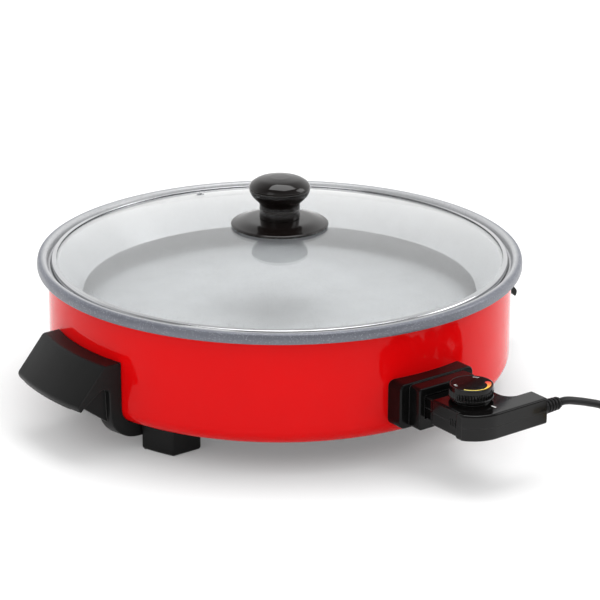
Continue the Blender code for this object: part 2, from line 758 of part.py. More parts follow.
def make_terminal_bracket(parent):
    """The plate that holds the insulators and the sleeve, and the screws into the shroud."""
    low_y = terminal_bracket_face()
    half_x, half_z = BRACKET_HALF_WIDTH, BRACKET_HEIGHT / 2
    outline = [(-half_x, -half_z), (half_x, -half_z), (half_x, half_z), (-half_x, half_z)]
    sleeve_hole = PROBE_RADIUS + SLEEVE_CLEARANCE + SLEEVE_WALL + GAP
    holes = [circle((0, 0), sleeve_hole, TINY_STEPS)]
    for side in (-1, 1):
        holes.append(circle((side * PIN_X, 0), INSULATOR_RADIUS + GAP, TINY_STEPS))
        holes.append(circle((side * SHROUD_SCREW_X, 0), SHROUD_SCREW_RADIUS + GAP, TINY_STEPS))
    bracket = plate("terminal_bracket", [outline, *holes], 0, BRACKET_THICKNESS, "steel", parent)
    bracket.rotation_euler = (-math.pi / 2, 0, 0)
    bracket.location = (0, low_y, PROBE_Z)
    head_y = low_y + BRACKET_THICKNESS + GAP
    tip_y = -(CASING_RADIUS + SHROUD_SCREW_GRIP)
    for side, word in ((-1, "left"), (1, "right")):
        profile = [
            (0, head_y - tip_y),
            (SHROUD_SCREW_RADIUS, head_y - tip_y),
            (SHROUD_SCREW_RADIUS, 0),
            (SHROUD_SCREW_HEAD_RADIUS, 0),
            (SHROUD_SCREW_HEAD_RADIUS, -SHROUD_SCREW_HEAD),
            (0, -SHROUD_SCREW_HEAD),
        ]
        screw = turned(f"shroud_screw_{word}", profile, "steel", parent, TINY_STEPS)
        screw.rotation_euler = (math.pi / 2, 0, 0)
        screw.location = (side * SHROUD_SCREW_X, head_y, PROBE_Z)


def make_sensor_sleeve(parent):
    """The blind tube under the pan's floor that the probe's rod slides into."""
    bore = PROBE_RADIUS + SLEEVE_CLEARANCE
    outer = bore + SLEEVE_WALL
    mouth = CASING_RADIUS - CASING_WALL - 4 * GAP
    length = mouth - (CASING_RADIUS - SLEEVE_INNER_Y)
    profile = [
        (0, length),
        (outer, length),
        (outer, 0),
        (bore, 0),
        (bore, length - SLEEVE_WALL),
        (0, length - SLEEVE_WALL),
    ]
    sleeve = turned("sensor_sleeve", profile, "steel", parent, SMALL_STEPS)
    sleeve.rotation_euler = (-math.pi / 2, 0, 0)
    sleeve.location = (0, -mouth, PROBE_Z)


def make_element_clips(parent):
    """Saddles that hold the element up against the floor."""
    floor_under = FLOOR_Z - PAN_FLOOR - GAP
    axis = floor_under - ELEMENT_RADIUS
    inner = ELEMENT_RADIUS + 2 * GAP
    outer = inner + CLIP_THICKNESS
    section = [
        (-outer - CLIP_FLANGE, floor_under),
        (-outer - CLIP_FLANGE, floor_under - CLIP_THICKNESS),
        (-outer, floor_under - CLIP_THICKNESS),
        *arc((0, axis), outer, 180, 360, 8),
        (outer, floor_under - CLIP_THICKNESS),
        (outer + CLIP_FLANGE, floor_under - CLIP_THICKNESS),
        (outer + CLIP_FLANGE, floor_under),
        (inner, floor_under),
        *arc((0, axis), inner, 360, 180, 8),
        (-inner, floor_under),
    ]
    for i in range(CLIP_COUNT):
        angle = math.pi / 2 * (i + 1)
        half = CLIP_WIDTH / 2
        clip = plate(f"element_clip_{i + 1}", [section], -half, half, "steel", parent)
        clip.rotation_euler = (math.pi / 2, 0, angle - math.pi / 2)
        clip.location = polar(ELEMENT_CIRCLE, angle)


# Inlet shroud


def make_shroud(parent):
    """The two-tier moulding round the socket, shaped to the casing behind."""
    half_z = SHROUD_HEIGHT / 2
    middle = PROBE_Z - SHROUD_DROP
    back = CASING_FILLET
    tier = block(
        "inlet_shroud",
        (-SHROUD_HALF_WIDTH, -CASING_RADIUS - SHROUD_STAND, middle - half_z),
        (SHROUD_HALF_WIDTH, back - CASING_RADIUS, middle + half_z),
        "gloss_black",
        parent,
    )
    bevel(tier, SHROUD_ROUND)
    half_z = COLLAR_HEIGHT / 2
    collar = block(
        "shroud_collar",
        (-COLLAR_HALF_WIDTH, -CASING_RADIUS - COLLAR_STAND, middle - half_z),
        (COLLAR_HALF_WIDTH, back - CASING_RADIUS, middle + half_z),
        None,
        parent,
    )
    bevel(collar, COLLAR_ROUND)
    join(tier, collar)
    half_x = TONGUE_HALF_WIDTH + SOCKET_CLEARANCE
    half_z = TONGUE_HEIGHT / 2 + SOCKET_CLEARANCE
    socket = block(
        "socket_cavity",
        (-half_x, -CASING_RADIUS - COLLAR_STAND - OVERRUN, PROBE_Z - half_z),
        (half_x, -SOCKET_Y, PROBE_Z + half_z),
        None,
        parent,
    )
    core_radius = CASING_RADIUS + GAP
    low, high = PROBE_Z - SHROUD_HEIGHT, PROBE_Z + SHROUD_HEIGHT
    core = turned(
        "shroud_back_curve",
        [(0, high), (core_radius, high), (core_radius, low), (0, low)],
        None,
        parent,
    )
    cut(tier, socket, core)
    through = (back - CASING_RADIUS, -SOCKET_Y - OVERRUN)
    bores = [(0, PROBE_RADIUS + SLEEVE_CLEARANCE, through[1])]
    for side in (-1, 1):
        bores.append((side * PIN_X, PIN_RADIUS + GAP, through[1]))
        bores.append(
            (
                side * SHROUD_SCREW_X,
                SHROUD_SCREW_RADIUS + GAP,
                -(CASING_RADIUS + SHROUD_SCREW_GRIP + SHROUD_SCREW_HEAD),
            )
        )
    insulator_end = terminal_bracket_face() + BRACKET_THICKNESS - INSULATOR_LENGTH / 2
    for side in (-1, 1):
        bores.append((side * PIN_X, INSULATOR_RADIUS + GAP, insulator_end - 2 * GAP))
    for i, (x, radius, end) in enumerate(bores):
        ends = (x, through[0], PROBE_Z), (x, end, PROBE_Z)
        cut(tier, rod(f"shroud_bore_{i}", radius, *ends, None, parent, TINY_STEPS))
    return tier


# Handles


def handle_points(shares):
    """Handle section points: shares of its reach out from the casing and of its depth down."""
    wall = CASING_RADIUS + GAP
    span = CASING_RADIUS + HANDLE_REACH - wall
    return [(wall + a * span, HANDLE_TOP_Z - b * HANDLE_DEPTH) for a, b in shares]


def leg_bend(inset, start):
    """The leg's outer face from an angle below level down to its sole."""
    centre = (CASING_RADIUS + LEG_THICKNESS - LEG_BEND, LEG_SOLE_Z + LEG_BEND)
    return arc(centre, LEG_BEND - inset, start, -90, 4)


def arc_slice(name, profile, spans, finish, parent):
    """The stretches of a turned ring that lie between pairs of y, on the +X side."""
    ring = turned(name, profile, finish, parent, ring=True)
    far = CASING_RADIUS + HANDLE_REACH + OVERRUN
    bm = bmesh.new()
    for low_y, high_y in spans:
        add_box(bm, (0, low_y, -2 * OVERRUN), (far, high_y, LIP_Z))
    span = place(name + "_span", mesh_from(bm, name + "_span"), None, parent)
    return boolean(ring, span, "INTERSECT")


def make_handles(parent):
    """Two handles, each with a hollow grip, end webs, two legs and two feet."""
    inner_leg = HANDLE_HALF_WIDTH - LEG_WIDTH
    web_out = HANDLE_HALF_WIDTH - WEB_RECESS
    web_in = web_out - WEB_WIDTH
    fillet = (CASING_RADIUS - CASING_FILLET, FOOT_DROP + CASING_FILLET)
    section = [
        *handle_points(HANDLE_OUTER_SHARES),
        *leg_bend(0, -20),
        (LEG_INNER_RADIUS, LEG_SOLE_Z),
        (LEG_INNER_RADIUS, FOOT_DROP - GAP),
        *arc(fillet, CASING_FILLET + GAP, -90, 0),
    ]
    full = [(-HANDLE_HALF_WIDTH, HANDLE_HALF_WIDTH)]
    handle = arc_slice("handle_right", section, full, "matte_black", parent)
    hollow = [*handle_points(HANDLE_HOLLOW_SHARES)]
    hollow += handle_points([(HANDLE_HOLLOW_SHARES[-1][0], HANDLE_HOLLOW_TOP_SHARE)])
    window = [*handle_points(HANDLE_WINDOW_SHARES)]
    window += [leg_bend(GAP, -22)[0], leg_bend(GAP, 0)[0]]
    window += handle_points([HANDLE_WINDOW_APEX_SHARES])
    pockets = [(inner_leg - OVERRUN, web_in), (web_out, HANDLE_HALF_WIDTH + OVERRUN)]
    pockets += [(-high, -low) for low, high in pockets]
    cut(
        handle,
        arc_slice("handle_window", window, pockets, None, parent),
        arc_slice("handle_hollow", hollow, [(-inner_leg, inner_leg)], None, parent),
    )
    foot_front = [
        (math.sqrt(FOOT_RADIUS**2 - y**2), y)
        for y in (FOOT_NEAR, (FOOT_NEAR + FOOT_FAR) / 2, FOOT_FAR)
    ]
    for side in (-1, 1):
        outline = [(x, side * y) for x, y in foot_front]
        outline += [(FOOT_INNER, side * FOOT_FAR), (FOOT_INNER, side * FOOT_NEAR)]
        foot = plate(f"foot_block_{side}", [outline], 0, FOOT_DROP - GAP, None, parent)
        bevel(foot, FOOT_ROUND)
        join(handle, foot)
        reach = foot_front[0][0] - NECK_LAP
        low_y, high_y = sorted((side * inner_leg, side * (FOOT_NEAR + NECK_LAP)))
        neck = block(
            f"foot_neck_{side}",
            (LEG_INNER_RADIUS - NECK_LAP, low_y, LEG_SOLE_Z + GAP),
            (reach, high_y, FOOT_DROP - 2 * GAP),
            None,
            parent,
        )
        join(handle, neck)
    for i, (x, y) in enumerate(handle_screw_spots()[:2]):
        bore = (x, y, -OVERRUN), (x, y, FOOT_DROP + OVERRUN)
        recess = (x, y, -OVERRUN), (x, y, FOOT_RECESS)
        cut(
            handle,
            rod(f"foot_bore_{i}", SCREW_RADIUS + GAP, *bore, None, parent, TINY_STEPS),
            rod(f"foot_recess_{i}", FOOT_RECESS_RADIUS, *recess, None, parent),
        )
    other = place("handle_left", mesh_from(bmesh_of(handle), "handle_left"), "matte_black", parent)
    other.rotation_euler = (0, 0, math.pi)
    tip = FOOT_DROP + CASING_WALL + SCREW_GRIP
    for i, spot in enumerate(handle_screw_spots()):
        make_screw(f"handle_screw_{i + 1}", spot, FOOT_RECESS - GAP, tip, parent)


# Lid, with heights above the pan's ledge


def glass_edge_radius():
    return LID_RADIUS - BAND_WALL - GAP


def dome_radius():
    edge = glass_edge_radius()
    return (edge**2 + DOME_RISE**2) / (2 * DOME_RISE)


def glass_height(radius):
    """Height of the glass's outer surface above the ledge."""
    sphere = dome_radius()
    return CROWN_Z - sphere + math.sqrt(sphere**2 - radius**2)


def make_glass(parent):
    """The domed glass with its knob hole and vent hole."""
    edge = glass_edge_radius()
    bore = KNOB_SCREW_RADIUS + 2 * GAP
    shares = [i / GLASS_RINGS for i in range(GLASS_RINGS + 1)]
    radii = [bore + (edge - bore) * share for share in shares]
    outside = [(r, glass_height(r)) for r in radii]
    inside = [(r, glass_height(r) - GLASS_THICKNESS) for r in reversed(radii)]
    glass = turned("lid_glass", [*outside, *inside], "glass", parent, ring=True)
    centre, normal = vent_place()
    reach = normal * 2 * GLASS_THICKNESS
    hole = rod("vent_hole", VENT_TUBE + GAP, centre - reach, centre + reach, None, parent, TINY_STEPS)
    cut(glass, hole)


def vent_place():
    """The vent's point on the glass's outer surface and the surface's normal there."""
    point = polar(VENT_CIRCLE, VENT_ANGLE, glass_height(VENT_CIRCLE))
    return point, (point - Vector((0, 0, CROWN_Z - dome_radius()))).normalized()


def make_vent(parent):
    """The metal eyelet set through the glass."""
    seat = 2 * GAP
    under = -GLASS_THICKNESS - seat
    profile = [
        (VENT_FLANGE, seat + VENT_FLANGE_THICKNESS),
        (VENT_FLANGE, seat),
        (VENT_TUBE, seat),
        (VENT_TUBE, under),
        (VENT_FLANGE, under),
        (VENT_FLANGE, under - VENT_FLANGE_THICKNESS),
        (VENT_BORE, under - VENT_FLANGE_THICKNESS),
        (VENT_BORE, seat + VENT_FLANGE_THICKNESS),
    ]
    eyelet = turned("steam_vent_eyelet", profile, "steel", parent, TINY_STEPS, ring=True)
    eyelet.location, normal = vent_place()
    eyelet.rotation_euler = normal.to_track_quat("Z", "Y").to_euler()


def make_band(parent):
    """The steel channel pressed round the glass's edge."""
    outer, lip = LID_RADIUS, LID_RADIUS - BAND_LIP_WIDTH
    inner = LID_RADIUS - BAND_WALL
    lip_under = glass_height(lip) + GAP
    corner = glass_height(inner - GAP) + GAP
    profile = [
        (lip + BAND_WALL, lip_under + BAND_LIP),
        (outer - BAND_LIP, corner + BAND_LIP),
        (outer, corner - BAND_LIP),
        (outer, GAP + BAND_LIP / 2),
        (outer - BAND_LIP / 2, GAP),
        (lip, GAP),
        (lip, GAP + BAND_LIP),
        (inner, GAP + BAND_LIP),
        (inner, corner),
        (lip, lip_under),
        (lip, lip_under + BAND_LIP),
    ]
    turned("lid_rim_band", profile, "steel", parent, ring=True)


def make_knob(parent):
    """Heat guard, knob body and cap above the glass, with the screw stack that holds them."""
    crown = CROWN_Z
    bore = KNOB_SCREW_RADIUS + GAP
    gasket_top = crown + GAP + GASKET_THICKNESS
    gasket = [
        (GASKET_RADIUS, gasket_top),
        (GASKET_RADIUS, crown + GAP),
        (bore, crown + GAP),
        (bore, gasket_top),
    ]
    turned("upper_gasket", gasket, "silicone", parent, SMALL_STEPS, ring=True)
    edge_low = glass_height(GUARD_RADIUS) + GAP
    guard_top = crown + GUARD_RISE
    guard_under = gasket_top + GAP
    guard = [
        (KNOB_NECK_RADIUS, guard_top),
        ((GUARD_RADIUS + KNOB_NECK_RADIUS) / 2, (guard_top + edge_low + 2 * GUARD_EDGE) / 2),
        (GUARD_RADIUS - GUARD_EDGE / 2, edge_low + GUARD_EDGE),
        (GUARD_RADIUS, edge_low + GUARD_EDGE / 2),
        (GUARD_RADIUS - GUARD_EDGE / 4, edge_low),
        (GUARD_RADIUS - GUARD_EDGE, edge_low + GAP),
        (GASKET_RADIUS + GUARD_EDGE, guard_under),
        (bore, guard_under),
        (bore, guard_top),
    ]
    turned("knob_heat_guard", guard, "gloss_black", parent, KNOB_STEPS, ring=True)
    seam = crown + KNOB_HEIGHT * KNOB_BODY_SHARES[0][1]
    neck_low = guard_top + GAP
    waist = crown + KNOB_HEIGHT * KNOB_BODY_SHARES[-1][1]
    body = [
        (0, seam),
        *[(a * KNOB_RADIUS, crown + b * KNOB_HEIGHT) for a, b in KNOB_BODY_SHARES],
        (KNOB_NECK_RADIUS, waist - GAP),
        (KNOB_NECK_RADIUS, neck_low),
        (bore, neck_low),
        (bore, crown + KNOB_SCREW_REACH + GAP),
        (0, crown + KNOB_SCREW_REACH + GAP),
    ]
    turned("knob_body", body, "gloss_black", parent, KNOB_STEPS)
    cap_low = seam + GAP
    cap = [(a * KNOB_RADIUS, crown + b * KNOB_HEIGHT) for a, b in KNOB_CAP_SHARES]
    cap = [(r, max(z, cap_low)) for r, z in cap[:-1]]
    cap[-1] = (KNOB_RADIUS * KNOB_CAP_SHARES[-1][0], cap_low + GUARD_EDGE / 4)
    cap += [(KNOB_RADIUS * KNOB_BODY_SHARES[0][0], cap_low), (0, cap_low)]
    turned("knob_cap", cap, "gloss_black", parent, KNOB_STEPS)
    under = crown - GLASS_THICKNESS - GAP
    rings = (
        ("lower_gasket", WASHER_RADIUS, under, GASKET_THICKNESS, "silicone"),
        ("knob_washer", WASHER_RADIUS, under - GASKET_THICKNESS - GAP, WASHER_THICKNESS, "steel"),
    )
    for name, radius, top, thickness, finish in rings:
        low = top - thickness
        ring = [(radius, top), (radius, low), (bore, low), (bore, top)]
        turned(name, ring, finish, parent, SMALL_STEPS, ring=True)
    head = low - GAP
    screw = [
        (0, crown + KNOB_SCREW_REACH),
        (KNOB_SCREW_RADIUS, crown + KNOB_SCREW_REACH),
        (KNOB_SCREW_RADIUS, head),
        (KNOB_SCREW_HEAD_RADIUS, head),
        (KNOB_SCREW_HEAD_RADIUS, head - KNOB_SCREW_HEAD / 2),
        (KNOB_SCREW_HEAD_RADIUS / 2, head - KNOB_SCREW_HEAD),
        (0, head - KNOB_SCREW_HEAD),
    ]
    turned("knob_screw", screw, "steel", parent, SMALL_STEPS)


# Control, with y from the socket's floor and z from the probe's axis


def housing_outline(inset=0.0):
    """The housing in plan, from the shoulder round the front and the arm, moved in by a wall."""
    side = NOSE_HALF_WIDTH - inset
    cheek = NOSE_HALF_WIDTH + CHEEK_STEP - inset
    front = -(FRONT_Y - inset)
    arm_back = -(FRONT_Y - ARM_DEPTH) - inset
    end = ARM_REACH - inset
    radius = CORNER_RADIUS - inset
    centre = (radius - CORNER_PASS - cheek, front + radius)
    edge = 180 + math.degrees(math.acos(1 - CORNER_PASS / radius))
    corner = arc(centre, radius, edge, 270, 5)
    elbow_round = ELBOW_ROUND + inset
    elbow = arc((side + elbow_round, arm_back + elbow_round), elbow_round, 270, 180, 4)
    return [
        (-side, -SHOULDER_Y - inset),
        (-side, -CHEEK_Y - inset),
        (-cheek, -CHEEK_Y - inset),
        *corner,
        (end, front),
        (end, arm_back),
        *elbow,
        (side, -SHOULDER_Y - inset),
    ]


def housing_screw_spots():
    nose_x, nose_y = NOSE_SCREW_SPOT_SHARES
    arm_x, arm_y = ARM_SCREW_SPOT_SHARES
    nose_spot = (nose_x * NOSE_HALF_WIDTH, -nose_y * FRONT_Y)
    arm_spot = (NOSE_HALF_WIDTH + arm_x * (ARM_REACH - NOSE_HALF_WIDTH), -arm_y * FRONT_Y)
    return [nose_spot, arm_spot]


def make_housing_half(name, up, parent):
    """One half of the housing: a hollow shell that meets the other on the probe's axis."""
    half_z = HOUSING_HEIGHT / 2
    outline = housing_outline()
    shell = plate(name, [outline], -half_z, half_z, "gloss_black", parent, HOUSING_ROUND)
    tongue_end = -TONGUE_CLEAR
    tongue_z = TONGUE_HEIGHT / 2
    lap = -SHOULDER_Y - HOUSING_WALL / 2
    tongue = block(
        name + "_tongue",
        (-TONGUE_HALF_WIDTH, lap, -tongue_z),
        (TONGUE_HALF_WIDTH, tongue_end, tongue_z),
        None,
        parent,
    )
    join(shell, tongue)
    far = FRONT_Y + ARM_REACH
    low, high = (-2 * half_z, GAP / 2) if up else (-GAP / 2, 2 * half_z)
    other_half = (-far, -far, low), (far, far, high)
    cut(shell, block(name + "_other_half", *other_half, None, parent))
    hollow_z = half_z - HOUSING_WALL
    hollow = plate(
        name + "_hollow", [housing_outline(HOUSING_WALL)], -hollow_z, hollow_z, None, parent
    )
    channel = block(
        name + "_channel",
        (HOUSING_WALL - TONGUE_HALF_WIDTH, -SHOULDER_Y - 2 * HOUSING_WALL, HOUSING_WALL - tongue_z),
        (TONGUE_HALF_WIDTH - HOUSING_WALL, tongue_end - HOUSING_WALL, tongue_z - HOUSING_WALL),
        None,
        parent,
    )
    join(hollow, channel)
    cut(shell, hollow)
    post_end = (half_z - HOUSING_WALL / 2) * (1 if up else -1)
    post_split = GAP / 2 * (1 if up else -1)
    for i, (x, y) in enumerate(housing_screw_spots()):
        post = (x, y, post_split), (x, y, post_end)
        join(shell, rod(f"{name}_boss_{i}", HOUSING_BOSS_RADIUS, *post, None, parent, TINY_STEPS))
        drill = (x, y, -half_z - OVERRUN), (x, y, half_z - 3 / 2 * HOUSING_WALL)
        bore = HOUSING_SCREW_RADIUS + GAP
        cut(shell, rod(f"{name}_bore_{i}", bore, *drill, None, parent, TINY_STEPS))
        recess = (x, y, -half_z - OVERRUN), (x, y, -half_z + HOUSING_SCREW_HEAD + GAP)
        head = HOUSING_SCREW_HEAD_RADIUS + GAP
        cut(shell, rod(f"{name}_recess_{i}", head, *recess, None, parent, TINY_STEPS))
    holes = [(0, PROBE_RADIUS + GAP)]
    holes += [(side * PIN_X, PIN_RADIUS + CONTACT_CLEARANCE) for side in (-1, 1)]
    for i, (x, radius) in enumerate(holes):
        ends = (x, OVERRUN, 0), (x, tongue_end - HOUSING_WALL - OVERRUN, 0)
        cut(shell, rod(f"{name}_nose_hole_{i}", radius, *ends, None, parent, TINY_STEPS))
    ends = [(ARM_REACH + d, relief_y(), -RELIEF_DROP) for d in (-HOUSING_WALL - OVERRUN, OVERRUN)]
    cut(shell, rod(f"{name}_cord_hole", RELIEF_NECK_RADIUS + GAP, *ends, None, parent))
    slots = bmesh.new()
    first = -CHEEK_Y + SLOT_PITCH
    for i in range(SLOT_COUNT):
        low_y = first + SLOT_PITCH * i
        add_box(
            slots,
            (-NOSE_HALF_WIDTH - OVERRUN, low_y, -SLOT_HEIGHT / 2),
            (-NOSE_HALF_WIDTH + HOUSING_WALL + GAP, low_y + SLOT_WIDTH, SLOT_HEIGHT / 2),
        )
    cut(shell, place(name + "_slots", mesh_from(slots, name + "_slots"), None, parent))
    if up:
        stem = (0, -DIAL_Y, 0), (0, -DIAL_Y, half_z + COLLAR_RING_RISE + OVERRUN)
        ring = (0, -DIAL_Y, half_z - HOUSING_WALL / 2), (0, -DIAL_Y, half_z + COLLAR_RING_RISE)
        join(shell, rod(name + "_dial_ring", COLLAR_RING_RADIUS, *ring, None, parent))
        cut(shell, rod(name + "_stem_hole", SHAFT_RADIUS + SHAFT_CLEARANCE, *stem, None, parent))


def relief_y():
    """The strain relief's axis, in the middle of the arm."""
    return -(FRONT_Y - ARM_DEPTH / 2)


def make_housing_screws(parent):
    half_z = HOUSING_HEIGHT / 2
    head_low = -half_z
    head_top = head_low + HOUSING_SCREW_HEAD
    tip = half_z - 3 / 2 * HOUSING_WALL - GAP
    profile = [
        (0, tip),
        (HOUSING_SCREW_RADIUS, tip),
        (HOUSING_SCREW_RADIUS, head_top),
        (HOUSING_SCREW_HEAD_RADIUS, head_top),
        (HOUSING_SCREW_HEAD_RADIUS, head_low),
        (0, head_low),
    ]
    for i, (x, y) in enumerate(housing_screw_spots()):
        screw = turned(f"housing_screw_{i + 1}", profile, "steel", parent, TINY_STEPS)
        screw.location = (x, y, 0)


def make_probe(parent):
    """The sensor rod with its flange behind the nose, and the two contact sleeves."""
    wall_y = -(TONGUE_CLEAR + HOUSING_WALL)
    sleeve_end = SOCKET_Y - (CASING_RADIUS - SLEEVE_INNER_Y) - SLEEVE_WALL
    tip = sleeve_end - PROBE_TIP_CLEAR
    profile = [
        (0, tip),
        (PROBE_RADIUS / 2, tip - GAP),
        (PROBE_RADIUS, tip - PROBE_RADIUS / 2),
        (PROBE_RADIUS, wall_y - GAP),
        (PROBE_FLANGE_RADIUS, wall_y - GAP),
        (PROBE_FLANGE_RADIUS, wall_y - GAP - PROBE_FLANGE),
        (PROBE_RADIUS, wall_y - GAP - PROBE_FLANGE),
        (PROBE_RADIUS, wall_y - PROBE_TAIL),
        (0, wall_y - PROBE_TAIL),
    ]
    probe = turned("probe_rod", profile, "steel", parent, SMALL_STEPS)
    probe.rotation_euler = (-math.pi / 2, 0, 0)
    bore = PIN_RADIUS + CONTACT_CLEARANCE
    outer = bore + CONTACT_WALL
    start, end = wall_y - GAP, wall_y - GAP - CONTACT_LENGTH
    ring = [(outer, start), (outer, end), (bore, end), (bore, start)]
    for side, word in ((-1, "left"), (1, "right")):
        contact = turned(f"contact_sleeve_{word}", ring, "brass", parent, TINY_STEPS, ring=True)
        contact.rotation_euler = (-math.pi / 2, 0, 0)
        contact.location = (side * PIN_X, 0, 0)


def stack_floor():
    """Where the lowest blade's washer starts, above the frame."""
    return HOUSING_WALL - HOUSING_HEIGHT / 2 + RIVET_HEAD + FRAME_THICKNESS + 3 * GAP


def stack_top():
    """The top of the contact blade, which the dial's cam moves over."""
    return stack_floor() + 2 * STACK_WASHER + 2 * BLADE_THICKNESS + 3 * GAP


def make_thermostat(parent):
    """A riveted stack on the lower shell's floor: frame, washers, bimetal and contact blades."""
    floor = -HOUSING_HEIGHT / 2 + HOUSING_WALL
    stack_y = -DIAL_Y - SHAFT_RADIUS - STACK_RADIUS - CAM_RADIUS
    hole = circle((0, stack_y), RIVET_RADIUS + GAP, TINY_STEPS)
    frame_back = stack_y + FRAME_LENGTH
    foot = stack_y - STACK_RADIUS
    frame = [
        (-FRAME_HALF_WIDTH, foot),
        (FRAME_HALF_WIDTH, foot),
        (FRAME_HALF_WIDTH, frame_back),
        (-FRAME_HALF_WIDTH, frame_back),
    ]
    z = stack_floor()
    under = z - GAP - FRAME_THICKNESS
    base = plate("thermostat_frame", [frame, hole], under, z - GAP, "steel", parent)
    leg = block(
        "thermostat_frame_leg",
        (-FRAME_HALF_WIDTH, frame_back - 2 * FRAME_THICKNESS, floor + GAP),
        (FRAME_HALF_WIDTH, frame_back, under + FRAME_THICKNESS / 2),
        None,
        parent,
    )
    join(base, leg)
    blade = [
        (-BLADE_HALF_WIDTH, foot + STACK_RADIUS - BLADE_HALF_WIDTH),
        (BLADE_HALF_WIDTH, foot + STACK_RADIUS - BLADE_HALF_WIDTH),
        (BLADE_HALF_WIDTH, stack_y + BLADE_LENGTH),
        (-BLADE_HALF_WIDTH, stack_y + BLADE_LENGTH),
    ]
    disc = circle((0, stack_y), STACK_RADIUS, TINY_STEPS)
    stack = (
        ("stack_washer_lower", disc, STACK_WASHER, "ceramic"),
        ("bimetal_blade", blade, BLADE_THICKNESS, "brass"),
        ("stack_washer_upper", disc, STACK_WASHER, "ceramic"),
        ("contact_blade", blade, BLADE_THICKNESS, "brass"),
    )
    for name, outline, thickness, finish in stack:
        plate(name, [outline, hole], z, z + thickness, finish, parent)
        z += thickness + GAP
    rivet_low = floor + GAP
    rivet = [
        (0, z + RIVET_HEAD),
        (RIVET_HEAD_RADIUS, z + RIVET_HEAD),
        (RIVET_HEAD_RADIUS, z),
        (RIVET_RADIUS, z),
        (RIVET_RADIUS, rivet_low + RIVET_HEAD),
        (RIVET_HEAD_RADIUS, rivet_low + RIVET_HEAD),
        (RIVET_HEAD_RADIUS, rivet_low),
        (0, rivet_low),
    ]
    pin = turned("stack_rivet", rivet, "steel", parent, TINY_STEPS)
    pin.location = (0, stack_y, 0)


def make_lead_wires(parent):
    """Two insulated wires from the strain relief to the contact sleeves."""
    start_x = ARM_REACH - HOUSING_WALL - RELIEF_FLANGE - 2 * GAP
    sleeve_y = -(TONGUE_CLEAR + HOUSING_WALL + CONTACT_LENGTH + 3 * GAP)
    front = -(FRONT_Y - HOUSING_WALL)
    past_boss = HOUSING_BOSS_RADIUS + 2 * LEAD_RADIUS
    for side, word in ((-1, "left"), (1, "right")):
        y = relief_y() + side * 3 / 2 * LEAD_RADIUS
        entry = [(start_x, y, -RELIEF_DROP), (start_x - 2 * LEAD_RADIUS, y, -RELIEF_DROP)]
        entry += [(housing_screw_spots()[1][0], relief_y() + side * past_boss, 0)]
        if side < 0:
            entry += [
                (PIN_X, front + 3 * LEAD_RADIUS, 0),
                (-PIN_X / 2, front + 4 * LEAD_RADIUS, 0),
                (-PIN_X + LEAD_RADIUS, front + 9 * LEAD_RADIUS, 0),
            ]
        else:
            entry += [(PIN_X + 3 * LEAD_RADIUS, relief_y() + 2 * past_boss, 0)]
        exit_x = side * PIN_X
        entry += [(exit_x, sleeve_y - 6 * LEAD_RADIUS, 0), (exit_x, sleeve_y, 0)]
        path = smooth_path(entry, 5 * LEAD_RADIUS)
        tube(f"lead_wire_{word}", path, LEAD_RADIUS, 1, "silicone", parent)


def make_strain_relief(parent):
    """The ringed, tapering sleeve where the cord leaves the arm."""
    wall = ARM_REACH - HOUSING_WALL
    inside = wall - GAP
    profile = [
        (0, inside - RELIEF_FLANGE),
        (RELIEF_FLANGE_RADIUS, inside - RELIEF_FLANGE),
        (RELIEF_FLANGE_RADIUS, inside),
        (RELIEF_NECK_RADIUS, inside),
        (RELIEF_NECK_RADIUS, ARM_REACH + GAP),
    ]
    step = RELIEF_LENGTH / RELIEF_RINGS
    for i in range(RELIEF_RINGS):
        radius = RELIEF_ROOT_RADIUS + (RELIEF_TIP_RADIUS - RELIEF_ROOT_RADIUS) * i / (RELIEF_RINGS - 1)
        start = ARM_REACH + GAP + step * i
        profile += [(radius, start), (radius, start + step * 3 / 5)]
        if i < RELIEF_RINGS - 1:
            profile += [
                (radius - RELIEF_GROOVE, start + step * 4 / 5),
                (radius - RELIEF_GROOVE, start + step * 9 / 10),
            ]
    tip = ARM_REACH + GAP + RELIEF_LENGTH
    profile += [(RELIEF_TIP_RADIUS - RELIEF_GROOVE / 2, tip), (0, tip)]
    profile.reverse()
    relief = turned("strain_relief", profile, "cord_black", parent, TINY_STEPS)
    relief.rotation_euler = (0, math.pi / 2, 0)
    relief.location = (0, relief_y(), -RELIEF_DROP)
    return tip


# Dial, about its own axis and from the housing's top


